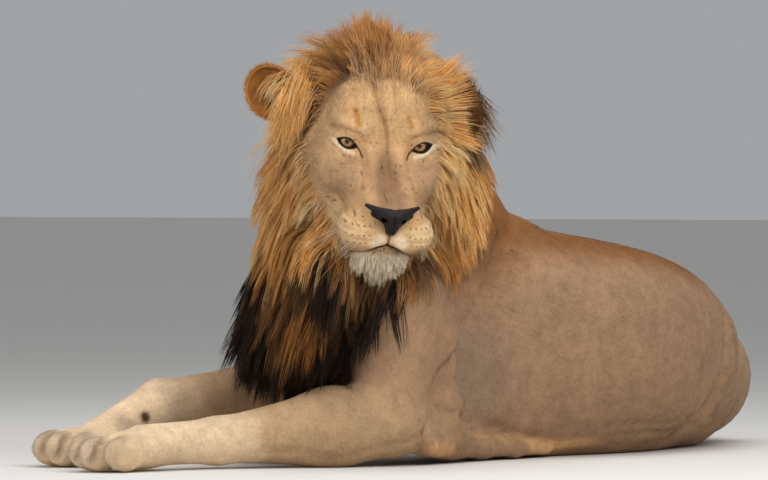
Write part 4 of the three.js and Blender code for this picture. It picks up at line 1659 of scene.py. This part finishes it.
def noise(tree, size):
    """Uneven patches of this size in millimetres."""
    places = node(tree, "ShaderNodeTexCoord").outputs["Object"]
    values = {"Scale": per_metre(size), "Detail": 4.0}
    return node(tree, "ShaderNodeTexNoise", values, {"Vector": places}).outputs[0]


def shaded(tree, colour, amount, values):
    """A colour made lighter and darker as an amount changes."""
    span = node(tree, "ShaderNodeMapRange", values, {"Value": amount})
    links = {0: colour, "Scale": span.outputs[0]}
    return node(tree, "ShaderNodeVectorMath", {"operation": "SCALE"}, links).outputs[0]


def bumped(tree, height, depth):
    """The fine relief of a surface, its depth in millimetres."""
    values = {"Strength": 0.5, "Distance": depth / 1000}
    return node(tree, "ShaderNodeBump", values, {"Height": height}).outputs[0]


def finish(shader, colour, roughness, specular, normal=None):
    """Joins a colour and a relief to a material's shader, and sets its gloss."""
    tree = shader.id_data
    tree.links.new(colour, shader.inputs["Base Color"])
    if normal:
        tree.links.new(normal, shader.inputs["Normal"])
    shader.inputs["Roughness"].default_value = roughness
    shader.inputs["Specular IOR Level"].default_value = specular


def mottled(tree, spread):
    """The markings' colour with the coat's own uneven shade, and the finest grain of that shade."""
    marks = node(tree, "ShaderNodeAttribute", {"attribute_name": "Markings"}).outputs["Color"]
    grains = [noise(tree, size) for size in (90, 22, 5)]
    two = node(tree, "ShaderNodeMath", {"operation": "ADD"}, {0: grains[0], 1: grains[1]})
    three = node(tree, "ShaderNodeMath", {"operation": "ADD"}, {0: two.outputs[0], 1: grains[2]})
    values = {"From Min": 1.0, "From Max": 2.0, "To Min": 1 - spread, "To Max": 1 + spread}
    return shaded(tree, marks, three.outputs[0], values), grains[2]


def hair_material(name, roughness, specular, spread):
    """Keratin hairs: soft, barely glossy, with a slight change of shade from lock to lock."""
    material, tree, shader = new_material(name)
    colour, _ = mottled(tree, spread)
    finish(shader, colour, roughness, specular)
    return material


def skin_material():
    """Skin under a flat short coat, whose grain is drawn as a fine bump."""
    material, tree, shader = new_material("short_coated_skin")
    colour, grain = mottled(tree, 0.28)
    finish(shader, colour, 0.8, 0.2, bumped(tree, grain, 1.2))
    return material


def leather_material(name, colour, roughness, pebble):
    """Bare hide, as on the nose and the rims of the lids: dark, pebbled and a little moist."""
    material, tree, shader = new_material(name)
    places = node(tree, "ShaderNodeTexCoord").outputs["Object"]
    cells = node(tree, "ShaderNodeTexVoronoi", {"Scale": per_metre(pebble)}, {"Vector": places})
    colours = ramp(tree, noise(tree, 9), [(0.35, linear(colour) * 0.6), (0.7, linear(colour) * 1.5)])
    finish(shader, colours, roughness, 0.22, bumped(tree, cells.outputs["Distance"], 0.6))
    return material


def ramp(tree, amount, stops):
    """A colour that runs through its stops as an amount rises."""
    new = node(tree, "ShaderNodeValToRGB", links={"Fac": amount})
    elements = new.color_ramp.elements
    while len(elements) < len(stops):
        elements.new(1.0)
    for element, (position, colour) in zip(elements, stops):
        element.position = position
        element.color = (*colour, 1)
    return new.outputs[0]


def eye_material():
    """A wet eye: round pupil, amber iris with darker streaks and edge, and a brown white."""
    material, tree, shader = new_material("wet_eye")
    around = node(tree, "ShaderNodeUVMap", {"uv_map": "Iris"})
    split = node(tree, "ShaderNodeSeparateXYZ", links={0: around.outputs[0]})
    stops = [  # from the pole of the eyeball, at 0, to its back, at 1
        (0.0, "050403"), (0.044, "070504"),  # pupil
        (0.053, "5d3a16"), (0.085, "a8743a"), (0.160, "94642f"), (0.182, "5a3a1a"),  # iris
        (0.202, "1c130c"), (0.25, "2b1f18"), (0.5, "3a2a22"),  # its dark edge, and the white
    ]
    rings = ramp(tree, split.outputs["Y"], [(position, linear(code)) for position, code in stops])
    drawn_out = {"Scale": (60.0, 6.0, 1.0)}
    stretched = node(tree, "ShaderNodeMapping", drawn_out, {"Vector": around.outputs[0]}).outputs[0]
    streaks = node(tree, "ShaderNodeTexNoise", {"Scale": 1.0, "Detail": 2.0}, {"Vector": stretched})
    finish(shader, shaded(tree, rings, streaks.outputs[0], {"To Min": 0.6, "To Max": 1.4}), 0.12, 0.3)
    shader.inputs["Coat Weight"].default_value = 0.6
    shader.inputs["Coat Roughness"].default_value = 0.06
    return material


# ---------------------------------------------------------------- studio

CAMERA_TURN = math.radians(50)  # the way the camera looks, from +Y towards +X
CAMERA_DOWN = math.radians(0.5)
CAMERA_AWAY = 10.0  # metres
CAMERA_LENS = 285.9  # millimetres on a 36 mm sensor
CAMERA_AIM = (2.5, 375)  # millimetres to the right of the eyes and above the floor


def make_camera():
    """Sets the camera in front of the lion and to its left, and gives its ways right and ahead."""
    right = Vector((math.cos(CAMERA_TURN), -math.sin(CAMERA_TURN), 0))
    ahead = Vector((math.sin(CAMERA_TURN), math.cos(CAMERA_TURN), 0))
    back = Vector((0, 0, math.sin(CAMERA_DOWN))) - ahead * math.cos(CAMERA_DOWN)
    aim = TO_MODEL @ (right * CAMERA_AIM[0] + Vector((0, 0, CAMERA_AIM[1])))
    lens = bpy.data.cameras.new("camera")
    lens.lens = CAMERA_LENS
    lens.sensor_width = 36
    lens.clip_end = 100
    camera = bpy.data.objects.new("camera", lens)
    bpy.context.scene.collection.objects.link(camera)
    camera.rotation_mode = "QUATERNION"
    camera.rotation_quaternion = (-back).to_track_quat("-Z", "Y")
    camera.location = aim + back * CAMERA_AWAY
    bpy.context.scene.camera = camera
    return right, ahead


def add_light(name, at, size, power):
    """A square lamp, its size in metres, that shines at the middle of the lion."""
    lamp = bpy.data.lights.new(name, "AREA")
    lamp.size = size
    lamp.energy = power
    light = bpy.data.objects.new(name, lamp)
    light.location = at
    light.rotation_mode = "QUATERNION"
    light.rotation_quaternion = (Vector((0, 0, 0.35)) - Vector(at)).to_track_quat("-Z", "Y")
    bpy.context.scene.collection.objects.link(light)


def make_studio(right, ahead):
    """A plain floor under three soft lights and an even sky."""
    bm = bmesh.new()
    bmesh.ops.create_grid(bm, x_segments=1, y_segments=1, size=60)
    mesh = bpy.data.meshes.new("floor")
    bm.to_mesh(mesh)
    bm.free()
    material, _, shader = new_material("matt_studio_floor")
    shader.inputs["Base Color"].default_value = (*linear("dedbd6"), 1)
    shader.inputs["Roughness"].default_value = 0.9
    mesh.materials.append(material)
    floor = bpy.data.objects.new("floor", mesh)
    bpy.context.scene.collection.objects.link(floor)
    floor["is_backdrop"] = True
    add_light("sky", Vector((0, 0, 3.4)) - ahead * 0.7 + right * 0.3, 3.0, 66)
    add_light("key", Vector((0, 0, 2.0)) - ahead * 2.6 + right * 1.6, 1.8, 50)
    add_light("fill", Vector((0, 0, 1.1)) - ahead * 2.8 - right * 2.0, 2.5, 36)
    world = bpy.data.worlds.new("studio")
    world.use_nodes = True
    colour, strength = world.node_tree.nodes["Background"].inputs[:2]
    colour.default_value = (*linear("d2d5d8"), 1)
    strength.default_value = 0.55
    bpy.context.scene.world = world
    bpy.context.scene.view_settings.view_transform = "Standard"


# ---------------------------------------------------------------- the whole lion

SKIN_NODES = [
    "head", "trunk", "tail_root", "tail",
    *[f"{part}_{side}" for side in SIDES
      for part in ("upper_arm", "forearm", "forepaw", "thigh", "shank", "hindpaw")],
]
SHADE_UNDER_MANE = 0.85  # of the roots' own colour

make_studio(*make_camera())
coat = hair_material("short_coat", 0.8, 0.2, 0.3)
mane_hair = hair_material("mane_hair", 0.7, 0.2, 0.4)
dark_hair = hair_material("dark_mane_hair", 0.65, 0.15, 0.3)
hide = leather_material("nose_leather", "16100e", 0.55, 1.2)
rim = leather_material("wet_lid_rim", "17110f", 0.3, 1.5)
eye = eye_material()

skin = make_skin()
triangles = skin_triangles(skin)
shade = painted(get_points(skin))
under_mane = mane_share(get_points(skin))[:, None]
root_colours = comb_shares(get_points(skin), MANE_COMBS) @ np.array([c.root for c in MANE_COMBS])
paint(skin, shade * (1 - under_mane) + root_colours * SHADE_UNDER_MANE * under_mane)
shade_smooth(skin)
corners = triangles[0].reshape(-1, 3)
bvh = BVHTree.FromPolygons(corners.tolist(), np.arange(len(corners)).reshape(-1, 3).tolist())
for name, side in SIDES.items():
    make_eye(name, side, eye)
    make_lid_rim(name, side, rim)
    make_ear(name, side, bvh, triangles[2], coat)
make_temple_tufts(triangles, bvh, triangles[2], mane_hair, dark_hair)
make_nose(hide)
make_whiskers(bvh, triangles[2], coat)
make_short_coat(triangles, coat)
make_mane(triangles, mane_hair, dark_hair)
make_tail_tuft(triangles, dark_hair)
add_piece("skin", skin, skin_material(), SKIN_NODES)

boxes = {"cad": CAD_BOX, "visual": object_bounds()}
{key: [list(corner) for corner in box] for key, box in boxes.items()}
